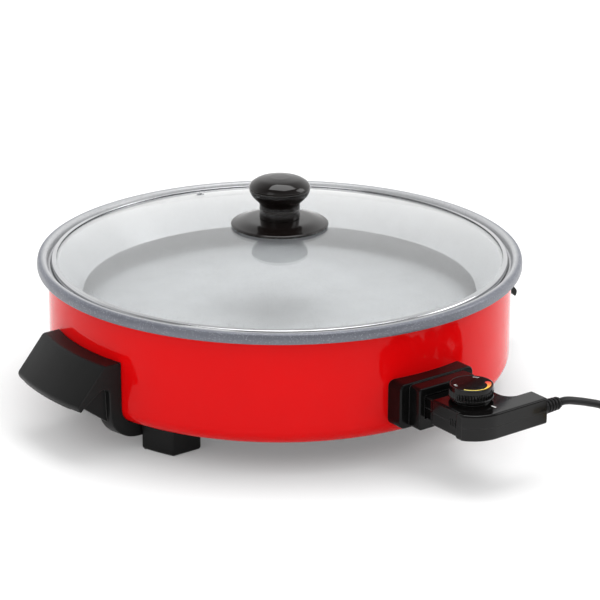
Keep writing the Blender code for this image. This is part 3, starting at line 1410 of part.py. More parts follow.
def make_dial(parent):
    """The fluted dial, its printed disc, and the shaft with the cam below."""
    low, top = DIAL_FOOT, DIAL_TOP
    band = top - DIAL_BAND
    inner = DIAL_RADIUS - DIAL_WALL
    recess = top - DISC_THICKNESS - GAP
    ceiling = recess - DIAL_WALL
    hub_low = COLLAR_RING_RISE + GAP
    bore = SHAFT_RADIUS + GAP
    profile = [
        (0, recess),
        (DISC_RADIUS + GAP, recess),
        (DISC_RADIUS + GAP, top - GAP),
        (DIAL_RADIUS - DIAL_TAPER - GAP, top),
        (DIAL_RADIUS - DIAL_TAPER, top - GAP),
        (DIAL_RADIUS, band),
        (inner + DIAL_WALL / 4, band - DIAL_WALL),
        (inner, band - DIAL_WALL),
        (inner, ceiling),
        (HUB_RADIUS, ceiling),
        (HUB_RADIUS, hub_low + GAP),
        (bore, hub_low + GAP),
        (bore, ceiling),
        (0, ceiling),
    ]
    dial = turned("dial_knob", profile, "gloss_black", parent, KNOB_STEPS)
    radii = DIAL_RADIUS - GAP / 2, DIAL_RADIUS - DIAL_FLUTE_DEPTH
    turns = [math.pi * i / DIAL_FLUTES for i in range(2 * DIAL_FLUTES)]
    teeth = [(radii[i % 2] * math.cos(a), radii[i % 2] * math.sin(a)) for i, a in enumerate(turns)]
    skirt = plate(
        "dial_flutes",
        [teeth, circle((0, 0), inner, KNOB_STEPS)],
        low,
        band + GAP,
        None,
        parent,
    )
    join(dial, skirt)
    disc = [
        (0, recess + GAP + DISC_THICKNESS),
        (DISC_RADIUS, recess + GAP + DISC_THICKNESS),
        (DISC_RADIUS, recess + GAP),
        (0, recess + GAP),
    ]
    turned("dial_disc", disc, "dial_face", parent, KNOB_STEPS)
    cam_low = stack_top() + GAP - HOUSING_HEIGHT / 2
    cam_top = cam_low + CAM_THICKNESS
    shaft = rod(
        "dial_shaft",
        SHAFT_RADIUS,
        (0, 0, cam_low + CAM_THICKNESS / 2),
        (0, 0, ceiling - GAP),
        "steel",
        parent,
    )
    cam = rod("dial_cam", CAM_RADIUS, (CAM_THROW, 0, cam_low), (CAM_THROW, 0, cam_top), None, parent)
    join(shaft, cam)


# Cord, coil and plug, from the pan's axis and the table


def coil_path():
    """The coil's centreline: spiral in on the table, climb a layer, spiral out again."""
    turns = 2 * COIL_LAYER_TURNS + COIL_CLIMB_TURNS
    middle = turns / 2
    outer = COIL_MIDDLE_RADIUS + COIL_PITCH * middle / 2
    centre_x, centre_y = (c * MM for c in COIL_CENTRE)
    lead = 2 * CORD_RADIUS
    points = [Vector((centre_x - lead, centre_y + outer, COIL_BASE_Z))]
    count = round(turns * COIL_POINTS_A_TURN)
    for i in range(count + 1):
        u = turns * i / count
        radius = outer - COIL_PITCH * (middle - abs(u - middle))
        climb = min(max((u - COIL_LAYER_TURNS) / COIL_CLIMB_TURNS, 0), 1)
        rise = climb * climb * (3 - 2 * climb)
        angle = math.pi / 2 - math.tau * u
        points.append(
            Vector(
                (
                    centre_x + radius * math.cos(angle),
                    centre_y + radius * math.sin(angle),
                    COIL_BASE_Z + COIL_PITCH * rise,
                )
            )
        )
    points.append(points[-1] + Vector((-lead, 0, 0)))
    return points


def least_self_gap(points):
    """The least clear distance between stretches of the coil that aren't neighbours."""
    lengths = [0.0]
    for a, b in zip(points, points[1:]):
        lengths.append(lengths[-1] + (b - a).length)
    apart = 6 * CORD_RADIUS
    found = [
        (points[i] - points[j]).length
        for i in range(len(points))
        for j in range(i)
        if lengths[i] - lengths[j] > apart
    ]
    return min(found) - 2 * CORD_RADIUS


def make_cord(relief_tip, parent):
    """The hanging stretch, the coil, its tie and the plug. relief_tip is where the cord starts."""
    coil = coil_path()
    print(f"coil: least gap to itself {least_self_gap(coil) / MM:.2f} mm")
    start = Vector((relief_tip + GAP, -SOCKET_Y + relief_y(), PROBE_Z - RELIEF_DROP))
    straight = Vector((2 * CORD_RADIUS, 0, 0))
    route = [Vector(point) * MM for point in CORD_ROUTE]
    end = coil[0] - Vector((GAP, 0, 0))
    points = smooth_path([start + straight, *route, end - straight], CORD_SPACING)
    points = [start, *points, end]
    tube("power_cord", points, CORD_RADIUS, CORD_SIDES_RESOLUTION, "cord_black", parent)
    tube("cord_coil", coil, CORD_RADIUS, 1, "cord_black", parent)
    length = sum((b - a).length for path in (points, coil) for a, b in zip(path, path[1:]))
    print(f"cord: {length:.3f} m")
    make_tie(parent)
    make_plug(coil[-1], parent)


def rounded_box(low, high, radius):
    """An outline with round corners between two corners."""
    (x0, y0), (x1, y1) = low, high
    corners = (
        ((x0 + radius, y0 + radius), 180),
        ((x1 - radius, y0 + radius), 270),
        ((x1 - radius, y1 - radius), 0),
        ((x0 + radius, y1 - radius), 90),
    )
    return [p for centre, start in corners for p in arc(centre, radius, start, start + 90, 3)]


def make_tie(parent):
    """The band round the coil's strands, on the side away from the skillet."""
    turns = 2 * COIL_LAYER_TURNS + COIL_CLIMB_TURNS
    outer_turn = COIL_MIDDLE_RADIUS + COIL_PITCH * turns / 4 - COIL_PITCH / 4
    inner_turn = outer_turn - COIL_PITCH
    around = CORD_RADIUS + TIE_SLACK
    low = (inner_turn - around, TIE_THICKNESS)
    high = (outer_turn + around, COIL_TOP_Z + around)
    inside = rounded_box(low, high, TIE_CORNER)
    outside = rounded_box(
        (low[0] - TIE_THICKNESS, 0),
        (high[0] + TIE_THICKNESS, high[1] + TIE_THICKNESS),
        TIE_CORNER + TIE_THICKNESS,
    )
    half = TIE_WIDTH / 2
    tie = plate("cord_tie", [outside, inside], -half, half, "cord_black", parent)
    tie.rotation_euler = (math.pi / 2, 0, 0)
    tie.location = (COIL_CENTRE[0] * MM, COIL_CENTRE[1] * MM, 0)


def make_plug(cord_end, parent):
    """A two-blade plug that lies on the table beside the coil."""
    x, y, z = cord_end
    tail_x = x - GAP
    body_x = tail_x - PLUG_TAIL_LENGTH
    body = block(
        "plug_body",
        (body_x - PLUG_LENGTH, y - PLUG_HALF_WIDTH, 0),
        (body_x, y + PLUG_HALF_WIDTH, 2 * z),
        "cord_black",
        parent,
    )
    bevel(body, PLUG_ROUND)
    half = PLUG_TAIL_RADIUS - CORD_RADIUS
    profile = [
        (0, PLUG_TAIL_LENGTH),
        (CORD_RADIUS + half / 2, PLUG_TAIL_LENGTH),
        (PLUG_TAIL_RADIUS, 0),
        (PLUG_TAIL_RADIUS, -PLUG_ROUND),
        (0, -PLUG_ROUND),
    ]
    tail = turned("plug_tail", profile, None, parent, SMALL_STEPS)
    tail.rotation_euler = (0, math.pi / 2, 0)
    tail.location = (body_x, y, z)
    join(body, tail)
    face = body_x - PLUG_LENGTH
    slots = bmesh.new()
    for side, word in ((-1, "left"), (1, "right")):
        mid = y + side * BLADE_SPACING / 2
        low = (face - BLADE_PLUG_REACH, mid - BLADE_PLUG_THICKNESS / 2, z - BLADE_PLUG_HEIGHT / 2)
        high = (face + BLADE_PLUG_ROOT, mid + BLADE_PLUG_THICKNESS / 2, z + BLADE_PLUG_HEIGHT / 2)
        block(f"plug_blade_{word}", low, high, "brass", parent)
        room = Vector((GAP, GAP, GAP))
        add_box(slots, Vector(low) - room, Vector(high) + room)
    cut(body, place("plug_blade_slots", mesh_from(slots, "plug_blade_slots"), None, parent))


def main():
    """Build the skillet on its four frames: pan, lid, control and dial."""
    pan_frame = empty("pan_axis", (0, PAN_AXIS_Y, 0))
    lid_frame = empty("lid_lift", (0, 0, LEDGE_Z), pan_frame)
    control_frame = empty("control_pull", (0, -SOCKET_Y, PROBE_Z), pan_frame)
    dial_frame = empty("dial_axis", (0, -DIAL_Y, HOUSING_HEIGHT / 2), control_frame)
    make_pan(pan_frame)
    make_casing(pan_frame)
    make_base_plate(pan_frame)
    make_heater(pan_frame)
    make_terminal_bracket(pan_frame)
    make_sensor_sleeve(pan_frame)
    make_element_clips(pan_frame)
    make_shroud(pan_frame)
    make_handles(pan_frame)
    make_glass(lid_frame)
    make_band(lid_frame)
    make_vent(lid_frame)
    make_knob(lid_frame)
    make_housing_half("control_housing_upper", True, control_frame)
    make_housing_half("control_housing_lower", False, control_frame)
    make_housing_screws(control_frame)
    make_probe(control_frame)
    make_thermostat(control_frame)
    make_lead_wires(control_frame)
    relief_tip = make_strain_relief(control_frame)
    make_dial(dial_frame)
    make_cord(relief_tip, pan_frame)


clear_scene()
PARTS = new_collection("electric_skillet")
CUTTERS = new_collection("cutters")
main()
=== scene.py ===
"""Looks of a round electric skillet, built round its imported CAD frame.

Everything is in metres in the frame's own axes: +Z up, the probe control plugs in from -Y, and the
two handles stand out along +X and -X. Each sub-assembly is a class that holds its sizes as fields
and builds its own meshes. Each finish is a small frozen object that builds one material. main()
puts them together.
"""

import json
import logging
import math
from collections.abc import Callable, Iterable, Sequence
from dataclasses import dataclass, field, replace
from enum import Enum
from itertools import accumulate, pairwise
from typing import Any

import bmesh
import bpy
from mathutils import Matrix, Vector


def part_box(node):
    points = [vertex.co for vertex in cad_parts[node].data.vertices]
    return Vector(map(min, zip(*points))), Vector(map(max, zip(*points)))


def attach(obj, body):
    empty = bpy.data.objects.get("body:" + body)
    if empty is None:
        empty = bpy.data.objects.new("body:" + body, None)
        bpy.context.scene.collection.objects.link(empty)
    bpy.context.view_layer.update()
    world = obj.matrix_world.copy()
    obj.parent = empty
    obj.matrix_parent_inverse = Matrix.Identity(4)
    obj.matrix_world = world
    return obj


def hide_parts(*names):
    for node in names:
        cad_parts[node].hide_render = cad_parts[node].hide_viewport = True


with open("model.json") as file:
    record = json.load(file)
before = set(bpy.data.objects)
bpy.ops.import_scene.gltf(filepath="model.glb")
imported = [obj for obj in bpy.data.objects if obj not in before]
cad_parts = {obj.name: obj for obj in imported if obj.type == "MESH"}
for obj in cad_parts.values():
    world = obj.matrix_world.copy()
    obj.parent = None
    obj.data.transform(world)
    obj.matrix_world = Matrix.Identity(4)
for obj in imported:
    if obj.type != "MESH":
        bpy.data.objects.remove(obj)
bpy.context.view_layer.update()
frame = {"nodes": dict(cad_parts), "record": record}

LOG = logging.getLogger("skillet")
MM = 0.001
GAP = 0.3 * MM  # clearance between pieces that touch
POLE = 1e-7  # a radius below this is on the axis
SHARP = math.radians(32)  # edges that bend further stay crisp

Point2 = tuple[float, float]
Colour = tuple[float, float, float]
Shape = bpy.types.Object
Node = bpy.types.Node
Socket = bpy.types.NodeSocket

SIDES = ("left", "right")
QUARTER_X = Matrix.Rotation(math.pi / 2, 3, "X")
QUARTER_Y = Matrix.Rotation(math.pi / 2, 3, "Y")
DOME_SPHERE = 662.1 * MM  # the radius of the lid glass's outer face
KNOB_BORE = 2.8 * MM  # the knob screw's way through all but the glass


class Body(Enum):
    """The frame's moving bodies."""

    PAN = "root"
    LID = "lid"
    CONTROL = "control"
    DIAL = "dial"


class Slot(Enum):
    """The record's material slots."""

    NONSTICK = "nonstick_grey"
    ENAMEL = "red_enamel"
    MATTE = "matte_black"
    GLOSS = "gloss_black"
    BRIGHT = "bright_steel"
    STEEL = "plain_steel"
    GLASS = "lid_glass"
    BRASS = "contact_brass"
    CERAMIC = "ceramic"
    SILICONE = "silicone"
    PRINT = "dial_print"
    CORD = "cord_black"


class Cut(Enum):
    """How one shape changes another."""

    AWAY = "DIFFERENCE"
    ONTO = "UNION"


@dataclass(frozen=True)
class Datum:
    """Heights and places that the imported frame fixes.

    Attributes:
        pan_y: The pan's axis.
        lip_z: The casing's top, under the rim.
        ledge_z: The ledge that the lid rests on.
        floor_z: The cooking floor.
        casing_low_z: The casing's underside.
        casing_radius: The casing's radius.
        crown_z: The glass's highest point.
        probe_z: The probe's axis.
        socket_y: The socket's floor.
        dial_y: The dial's axis.
        dial_low_z: The housing's top under the dial.
        rounding_x: Where the casing's lower rounding starts, from the pan's axis.
        foot_screw_x: A foot's screw out from that axis.
        foot_screw_y: The same screw along the handle.
        base_screws: The radius of the circle of the base plate's screws.
        pin_x: Half the distance between the terminal pins.
    """

    pan_y: float = 35.65 * MM
    lip_z: float = 104.0 * MM
    ledge_z: float = 104.6 * MM
    floor_z: float = 64.0 * MM
    casing_low_z: float = 21.9 * MM
    casing_radius: float = 180.0 * MM
    crown_z: float = 132.8 * MM
    probe_z: float = 51.8 * MM
    socket_y: float = -148.85 * MM
    dial_y: float = -192.55 * MM
    dial_low_z: float = 61.6 * MM
    rounding_x: float = 166.9 * MM
    foot_screw_x: float = 136.6 * MM
    foot_screw_y: float = 58 * MM
    base_screws: float = 70 * MM
    pin_x: float = 14 * MM

    @property
    def pan(self) -> Vector:
        """The pan's axis at the table."""
        return Vector((0, self.pan_y, 0))

    @property
    def control(self) -> Vector:
        """The middle of the socket's floor, where the probe's axis meets it."""
        return Vector((0, self.socket_y, self.probe_z))

    @property
    def dial(self) -> Vector:
        """The dial's axis at the housing's top."""
        return Vector((0, self.dial_y, self.dial_low_z))


DATUM = Datum()


# Outlines and paths


def arc(centre: Point2, radius: float, start: float, end: float, steps: int = 8) -> list[Point2]:
    """Points on an arc.

    Args:
        centre: The arc's middle.
        radius: Its radius.
        start: The angle it starts at, in degrees.
        end: The angle it ends at, in degrees.
        steps: How many pieces it has.

    Returns:
        The points in order, both ends included.
    """
    angles = [math.radians(start + (end - start) * i / steps) for i in range(steps + 1)]
    return [(centre[0] + radius * math.cos(a), centre[1] + radius * math.sin(a)) for a in angles]


def softened(
    outline: Sequence[Point2], radius: float | Sequence[float], steps: int = 3
) -> list[Point2]:
    """A closed outline with its corners rounded.

    Args:
        outline: The corners in order.
        radius: How far from each corner its rounding starts, one for all or one each.
        steps: How many pieces each rounding has.

    Returns:
        The rounded outline. A corner with no radius stays as it is.
    """
    radii = [radius] * len(outline) if isinstance(radius, (int, float)) else list(radius)
    corners = [Vector(point) for point in outline]
    found: list[Point2] = []
    for i, corner in enumerate(corners):
        before, after = corners[i - 1] - corner, corners[(i + 1) % len(corners)] - corner
        reach = min(radii[i], before.length * 0.45, after.length * 0.45)
        if reach <= 0:
            found.append(tuple(corner))
            continue
        start, end = corner + before.normalized() * reach, corner + after.normalized() * reach
        for k in range(steps + 1):
            t = k / steps
            point = start * (1 - t) ** 2 + corner * 2 * t * (1 - t) + end * t * t
            found.append(tuple(point))
    return found


def smooth(knots: Sequence[Vector], pieces: int) -> list[Vector]:
    """A smooth line through knots.

    Args:
        knots: The points that the line passes through.
        pieces: How many pieces each stretch has.

    Returns:
        The line's points, both ends included.
    """
    ends = [2 * knots[0] - knots[1], *knots, 2 * knots[-1] - knots[-2]]
    found = [knots[0]]
    for a, b, c, d in zip(ends, ends[1:], ends[2:], ends[3:]):
        for k in range(1, pieces + 1):
            t = k / pieces
            bend = (2 * a - 5 * b + 4 * c - d) * t**2 + (3 * b - a - 3 * c + d) * t**3
            found.append((2 * b + (c - a) * t + bend) / 2)
    return found


def flowing(points: Iterable[Point2], pieces: int = 4) -> list[Point2]:
    """A smooth outline through points, each stretch in several pieces."""
    return [tuple(point) for point in smooth([Vector(point) for point in points], pieces)]


def shared(
    shares: Iterable[Point2], across: float, up: float, base: Point2 = (0.0, 0.0)
) -> list[Point2]:
    """Points given as shares of two sizes.

    Args:
        shares: The shares across and up.
        across: The size across.
        up: The size up.
        base: The point that shares of nothing give.

    Returns:
        The points in order.
    """
    return [(base[0] + a * across, base[1] + b * up) for a, b in shares]


def polar(radius: float, angle: float, height: float = 0.0) -> Vector:
    """A point at an angle turned from the control's side, -Y, towards +X."""
    return Vector((radius * math.sin(angle), -radius * math.cos(angle), height))


def facing(way: Vector) -> Matrix:
    """The turn that points a shape's +Z a way."""
    return way.to_track_quat("Z", "Y").to_matrix()


def circle(centre: Sequence[float], radius: float, steps: int) -> list[Point2]:
    """A closed circle's points."""
    return arc(centre, radius, 0, 360, steps)[:-1]


def near(base: Point2, *steps: Point2) -> list[Point2]:
    """Points at steps from a point, the steps in millimetres."""
    return [(base[0] + across * MM, base[1] + up * MM) for across, up in steps]


def rectangle(x0: float, y0: float, x1: float, y1: float) -> list[Point2]:
    """A rectangle's corners in order, from its first one."""
    return [(x0, y0), (x1, y0), (x1, y1), (x0, y1)]


# Shapes


def linked(name: str, data: bpy.types.ID) -> Shape:
    """A new object in the scene that shows some data."""
    shape = bpy.data.objects.new(name, data)
    bpy.context.scene.collection.objects.link(shape)
    return shape


def shape_from(name: str, bm: bmesh.types.BMesh) -> Shape:
    """A new object from a bmesh, its faces turned outward."""
    bmesh.ops.recalc_face_normals(bm, faces=bm.faces)
    mesh = bpy.data.meshes.new(name)
    bm.to_mesh(mesh)
    bm.free()
    return linked(name, mesh)


def drawn_shape(name: str, curve: bpy.types.Curve, height: float = 0.0) -> Shape:
    """The mesh of a flat curve, raised to a height."""
    drawn = linked(name, curve)
    bm = solid_of(drawn)
    bpy.data.objects.remove(drawn)
    bmesh.ops.translate(bm, verts=bm.verts, vec=(0, 0, height))
    return shape_from(name, bm)


def add_face(bm: bmesh.types.BMesh, *corners: bmesh.types.BMVert) -> None:
    """Add a face, unless so many of its corners are one that none is left."""
    if len(single := list(dict.fromkeys(corners))) > 2:
        bm.faces.new(single)


def turned(
    name: str, profile: Sequence[Point2], steps: int = 128, ring: bool = False
) -> Shape:
    """Turn a profile of (radius, height) points about Z.

    Args:
        name: The shape's name.
        profile: The points in order. It starts and ends on the axis unless ring is set.
        steps: How many columns go round.
        ring: Whether the profile closes on itself, away from the axis.

    Returns:
        The turned shape, on its own axis.
    """
    bm = bmesh.new()
    poles: dict[int, bmesh.types.BMVert] = {}
    columns = []
    for i in range(steps):
        angle = math.tau * i / steps
        column = []
        for j, (radius, height) in enumerate(profile):
            if radius > POLE:
                spot = (radius * math.cos(angle), radius * math.sin(angle), height)
                column.append(bm.verts.new(spot))
                continue
            if j not in poles:
                poles[j] = bm.verts.new((0, 0, height))
            column.append(poles[j])
        columns.append(column)
    pairs = list(zip(range(len(profile)), range(1, len(profile))))
    if ring:
        pairs.append((len(profile) - 1, 0))
    for here, there in zip(columns, columns[1:] + columns[:1]):
        for a, b in pairs:
            add_face(bm, here[a], there[a], there[b], here[b])
    return shape_from(name, bm)


def plate(
    name: str,
    outlines: Sequence[Sequence[Point2]],
    low: float,
    high: float,
    rounding: float = 0.0,
    steps: int = 3,
) -> Shape:
    """A flat shape between two heights, with rounded edges.

    Args:
        name: The shape's name.
        outlines: Its edge, and then its holes.
        low: Its lower face's height.
        high: Its upper face's height.
        rounding: The radius of its edges.
        steps: How many pieces a rounding has.

    Returns:
        The shape.
    """
    curve = bpy.data.curves.new(name, "CURVE")
    curve.dimensions = "2D"
    curve.fill_mode = "BOTH"
    curve.extrude = (high - low) / 2 - rounding
    curve.bevel_depth = rounding
    curve.bevel_resolution = steps - 1
    curve.offset = -rounding
    for outline in outlines:
        spline = curve.splines.new("POLY")
        spline.points.add(len(outline) - 1)
        for point, (x, y) in zip(spline.points, outline):
            point.co = (x, y, 0, 1)
        spline.use_cyclic_u = True
    return drawn_shape(name, curve, (high + low) / 2)


def solid_of(shape: Shape) -> bmesh.types.BMesh:
    """A shape's final mesh in its own axes, with points that meet made one."""
    bpy.context.view_layer.update()
    graph = bpy.context.evaluated_depsgraph_get()
    mesh = bpy.data.meshes.new_from_object(shape.evaluated_get(graph), depsgraph=graph)
    bm = bmesh.new()
    bm.from_mesh(mesh)
    bpy.data.meshes.remove(mesh)
    bmesh.ops.remove_doubles(bm, verts=bm.verts, dist=0.002 * MM)
    return bm


def settled(shape: Shape) -> Shape:
    """Make a shape's modifiers part of its mesh."""
    bm = solid_of(shape)
    shape.modifiers.clear()
    bm.to_mesh(shape.data)
    bm.free()
    return shape


def moved(shape: Shape, change: Callable[[Vector], Sequence[float]]) -> Shape:
    """Move every point of a shape by a rule."""
    for point in shape.data.vertices:
        point.co = change(point.co)
    shape.data.update()
    return shape


def set_at(
    shape: Shape, place: Sequence[float], turn: Matrix | None = None
) -> Shape:
    """Turn a shape about its own origin and set it at a place, in its mesh."""
    matrix = Matrix.Translation(Vector(place)) @ (turn.to_4x4() if turn else Matrix())
    shape.data.transform(matrix)
    return shape


def joined(name: str, *shapes: Shape) -> Shape:
    """One shape that holds the meshes of several."""
    bm = bmesh.new()
    for shape in shapes:
        shape.data.transform(shape.matrix_world)
        bm.from_mesh(shape.data)
        bpy.data.objects.remove(shape)
    mesh = bpy.data.meshes.new(name)
    bm.to_mesh(mesh)
    bm.free()
    return linked(name, mesh)


def worked(shape: Shape, cut: Cut, *others: Shape) -> Shape:
    """Add other shapes to a shape, or take them away."""
    for other in others:
        work = shape.modifiers.new("work", "BOOLEAN")
        work.operation = cut.value
        work.solver = "EXACT"
        work.object = other
        settled(shape)
        bpy.data.objects.remove(other)
    return shape


def sliced(shape: Shape, axis: Sequence[float], places: Iterable[float]) -> Shape:
    """Cut a shape's faces at planes across an axis, so that it can bend there."""
    bm = bmesh.new()
    bm.from_mesh(shape.data)
    for place in places:
        bmesh.ops.bisect_plane(
            bm,
            geom=[*bm.verts, *bm.edges, *bm.faces],
            plane_co=Vector(axis) * place,
            plane_no=axis,
            dist=1e-6,
        )
    bm.to_mesh(shape.data)
    bm.free()
    return shape


def boxed(name: str, low: Sequence[float], high: Sequence[float], rounding: float = 0.0) -> Shape:
    """A block between two corners with rounded edges."""
    (x0, y0, z0), (x1, y1, z1) = low, high
    return plate(name, [softened(rectangle(x0, y0, x1, y1), rounding * 1.2)], z0, z1, rounding)


def peg(name: str, radius: float, low: float, high: float, steps: int = 24) -> Shape:
    """A plain cylinder on the Z axis between two heights."""
    return turned(name, [(0.0, high), (radius, high), (radius, low), (0.0, low)], steps)


def crisp(shape: Shape, angle: float = SHARP) -> Shape:
    """Shade a shape smooth, with its sharp edges kept, and its big faces flat."""
    shape.data.shade_smooth()
    shape.data.set_sharp_from_angle(angle=angle)
    even = shape.modifiers.new("even", "WEIGHTED_NORMAL")
    even.keep_sharp = True
    even.weight = 60
    return shape


def bored(
    shape: Shape,
    radius: float,
    length: float,
    place: Sequence[float],
    turn: Matrix | None = None,
    steps: int = 32,
) -> Shape:
    """Cut a round hole.

    Args:
        shape: The shape to cut.
        radius: The hole's radius.
        length: The cutter's length.
        place: The cutter's middle.
        turn: How the cutter is turned from upright.
        steps: How many sides it has.

    Returns:
        The shape.
    """
    cutter = peg("drill", radius, -length / 2, length / 2, steps)
    return worked(shape, Cut.AWAY, set_at(cutter, place, turn))


# Effects that several finishes share


class Tree:
    """Short ways to add and join the nodes of a material or a group."""

    def __init__(self, tree: bpy.types.NodeTree) -> None:
        """Start on a node tree."""
        self.tree = tree

    @classmethod
    def blank(cls, owner: bpy.types.Material | bpy.types.World) -> "Tree":
        """Start on the emptied tree of a material or a world."""
        owner.use_nodes = True
        owner.node_tree.nodes.clear()
        return cls(owner.node_tree)

    def add(self, kind: str, given: dict[Any, Any] | None = None, **settings: Any) -> Node:
        """Add a node.

        Args:
            kind: Blender's name for the node.
            given: For each input, by name or number, a value or the output that feeds it.
            **settings: The node's own settings.

        Returns:
            The new node.
        """
        node = self.tree.nodes.new(kind)
        for name, value in settings.items():
            setattr(node, name, value)
        for name, value in (given or {}).items():
            self.feed(node.inputs[name], value)
        return node

    def feed(self, socket: Socket, value: Any) -> None:
        """Set an input to a value, or join it to an output."""
        if isinstance(value, Socket):
            self.tree.links.new(value, socket)
        else:
            socket.default_value = value

    def sum(self, what: str, *values: Any) -> Socket:
        """The outcome of one Math node."""
        return self.add("ShaderNodeMath", dict(enumerate(values)), operation=what).outputs[0]

    def spread(self, value: Any, low: Any, high: Any, start: float = 0.0, end: float = 1.0) -> Any:
        """A value moved from one range to another and kept inside it."""
        given = {"Value": value, "From Min": start, "From Max": end, "To Min": low, "To Max": high}
        return self.add("ShaderNodeMapRange", given).outputs[0]

    def mixed(self, share: Any, first: Any, second: Any) -> Socket:
        """Two colours mixed by a share."""
        mix = self.add("ShaderNodeMix", {0: share, 6: first, 7: second}, data_type="RGBA")
        return mix.outputs[2]

    def where(self, kind: str = "Object") -> Socket:
        """The place of the point that is shaded."""
        return self.add("ShaderNodeTexCoord").outputs[kind]

    def path(self) -> Any:
        """What kind of ray looks."""
        return self.add("ShaderNodeLightPath").outputs

    def parts(self, vector: Any) -> Any:
        """A vector's three numbers."""
        return self.add("ShaderNodeSeparateXYZ", {0: vector}).outputs

    def vector(self, what: str, first: Any, second: Any) -> Socket:
        """The outcome of one Vector Math node: a number for a dot product, else a vector."""
        node = self.add("ShaderNodeVectorMath", {0: first, 1: second}, operation=what)
        return node.outputs["Value" if what == "DOT_PRODUCT" else "Vector"]

    def noise(self, scale: Any, detail: float = 2.0, where: Any = None) -> Socket:
        """Even noise from 0 to 1 over the object."""
        where = where or self.where()
        given = {"Vector": where, "Scale": scale, "Detail": detail, "Roughness": 0.55}
        return self.add("ShaderNodeTexNoise", given).outputs[0]

    def effect(self, name: str, given: dict[str, Any]) -> Node:
        """Place a shared effect with its own values."""
        return self.add("ShaderNodeGroup", given, node_tree=bpy.data.node_groups[name])


class Effects:
    """The node groups that the finishes share."""

    def __init__(self) -> None:
        """Build every group once."""
        self.fine_grain()
        self.mottle()
        self.handled()
        self.painted_edge_highlight()
        self.flecks()
        self.drawn_lines()

    @staticmethod
    def group(name: str, output: str, **inputs: Any) -> tuple[Tree, Any, Any]:
        """A new group with its sockets.

        Args:
            name: The group's name.
            output: The name of its output.
            **inputs: Each input's name and the value it starts with.

        Returns:
            The group's tree, its inputs, and the node input that its output reads.
        """
        tree = bpy.data.node_groups.new(name, "ShaderNodeTree")
        for title, value in inputs.items():
            kind = "NodeSocketFloat" if isinstance(value, float) else "NodeSocketColor"
            socket = tree.interface.new_socket(title, in_out="INPUT", socket_type=kind)
            socket.default_value = value
        kind = "NodeSocketColor" if output == "Color" else "NodeSocketFloat"
        tree.interface.new_socket(output, in_out="OUTPUT", socket_type=kind)
        start = tree.nodes.new("NodeGroupInput")
        end = tree.nodes.new("NodeGroupOutput")
        return Tree(tree), start.outputs, end.inputs[output]

    @staticmethod
    def around(tree: Tree, middle: Any, by: Any) -> tuple[Any, Any]:
        """The values that lie a step below and above a middle."""
        return tree.sum("SUBTRACT", middle, by), tree.sum("ADD", middle, by)

    def fine_grain(self) -> None:
        """The fine stipple of a mould's surface, as a height."""
        tree, given, out = self.group("fine_grain", "Height", Scale=900.0)
        coarse = tree.noise(given["Scale"], 3.0)
        fine = tree.noise(tree.sum("MULTIPLY", given["Scale"], 2.7), 1.0)
        tree.feed(out, tree.sum("MULTIPLY_ADD", fine, 0.4, tree.sum("MULTIPLY", coarse, 0.6)))

    def mottle(self) -> None:
        """A colour that turns a little lighter and darker over the piece."""
        inputs = {"Color": (0.5, 0.5, 0.5, 1.0), "Scale": 40.0, "Amount": 0.1}
        tree, given, out = self.group("mottle", "Color", **inputs)
        low, high = self.around(tree, 1.0, given["Amount"])
        value = tree.spread(tree.noise(given["Scale"], 4.0), low, high, 0.3, 0.7)
        toned = tree.add("ShaderNodeHueSaturation", {"Color": given["Color"], "Value": value})
        tree.feed(out, toned.outputs[0])

    def handled(self) -> None:
        """Roughness that hands and cloths have made a little uneven."""
        inputs = {"Roughness": 0.3, "Spread": 0.05, "Scale": 30.0}
        tree, given, out = self.group("handled", "Roughness", **inputs)
        low, high = self.around(tree, given["Roughness"], given["Spread"])
        tree.feed(out, tree.spread(tree.noise(given["Scale"], 5.0), low, high, 0.35, 0.65))

    def painted_edge_highlight(self) -> None:
        """A mask of the rounded edges, where a lighter colour is painted on as a highlight, broken
        up by noise.
        """
        tree, given, out = self.group("painted_edge_highlight", "Mask", Reach=0.0008, Strength=0.5)
        # painted highlight: the bevel mask picks out rounded edges for the finish's lighter edge
        # colour
        round_normal = tree.add("ShaderNodeBevel", {"Radius": given["Reach"]}, samples=4).outputs[0]
        true_normal = tree.add("ShaderNodeNewGeometry").outputs["Normal"]
        likeness = tree.vector("DOT_PRODUCT", round_normal, true_normal)
        edge = tree.spread(likeness, 1.0, 0.0, 0.80, 0.995)
        uneven = tree.spread(tree.noise(220.0, 3.0), 0.55, 1.0, 0.3, 0.7)
        tree.feed(out, tree.sum("MULTIPLY", tree.sum("MULTIPLY", edge, uneven), given["Strength"]))

    def flecks(self) -> None:
        """A mask of small flecks, such as a speckled coating's."""
        tree, given, out = self.group("flecks", "Mask", Scale=900.0, Share=0.2)
        cells = tree.add("ShaderNodeTexVoronoi", {"Vector": tree.where(), "Scale": given["Scale"]})
        pick = tree.add("ShaderNodeSeparateColor", {0: cells.outputs["Color"]}).outputs[0]
        chosen = tree.sum("LESS_THAN", pick, given["Share"])
        close = tree.spread(cells.outputs["Distance"], 1.0, 0.0, 0.25, 0.5)
        tree.feed(out, tree.sum("MULTIPLY", chosen, close))

    def drawn_lines(self) -> None:
        """The fine lines that drawing or turning leaves on metal, as a height."""
        tree, given, out = self.group("drawn_lines", "Height", Scale=300.0, Stretch=0.04)
        level = tree.add("ShaderNodeCombineXYZ", {0: given["Stretch"], 1: given["Stretch"], 2: 1.0})
        drawn = tree.vector("MULTIPLY", tree.where(), level.outputs[0])
        tree.feed(out, tree.noise(given["Scale"], 4.0, drawn))


def tone(red: int, green: int, blue: int) -> Colour:
    """A colour as it looks on a screen, from 0 to 255, turned into light."""
    shares = (red / 255, green / 255, blue / 255)
    return tuple(s / 12.92 if s <= 0.04045 else ((s + 0.055) / 1.055) ** 2.4 for s in shares)


# Finishes


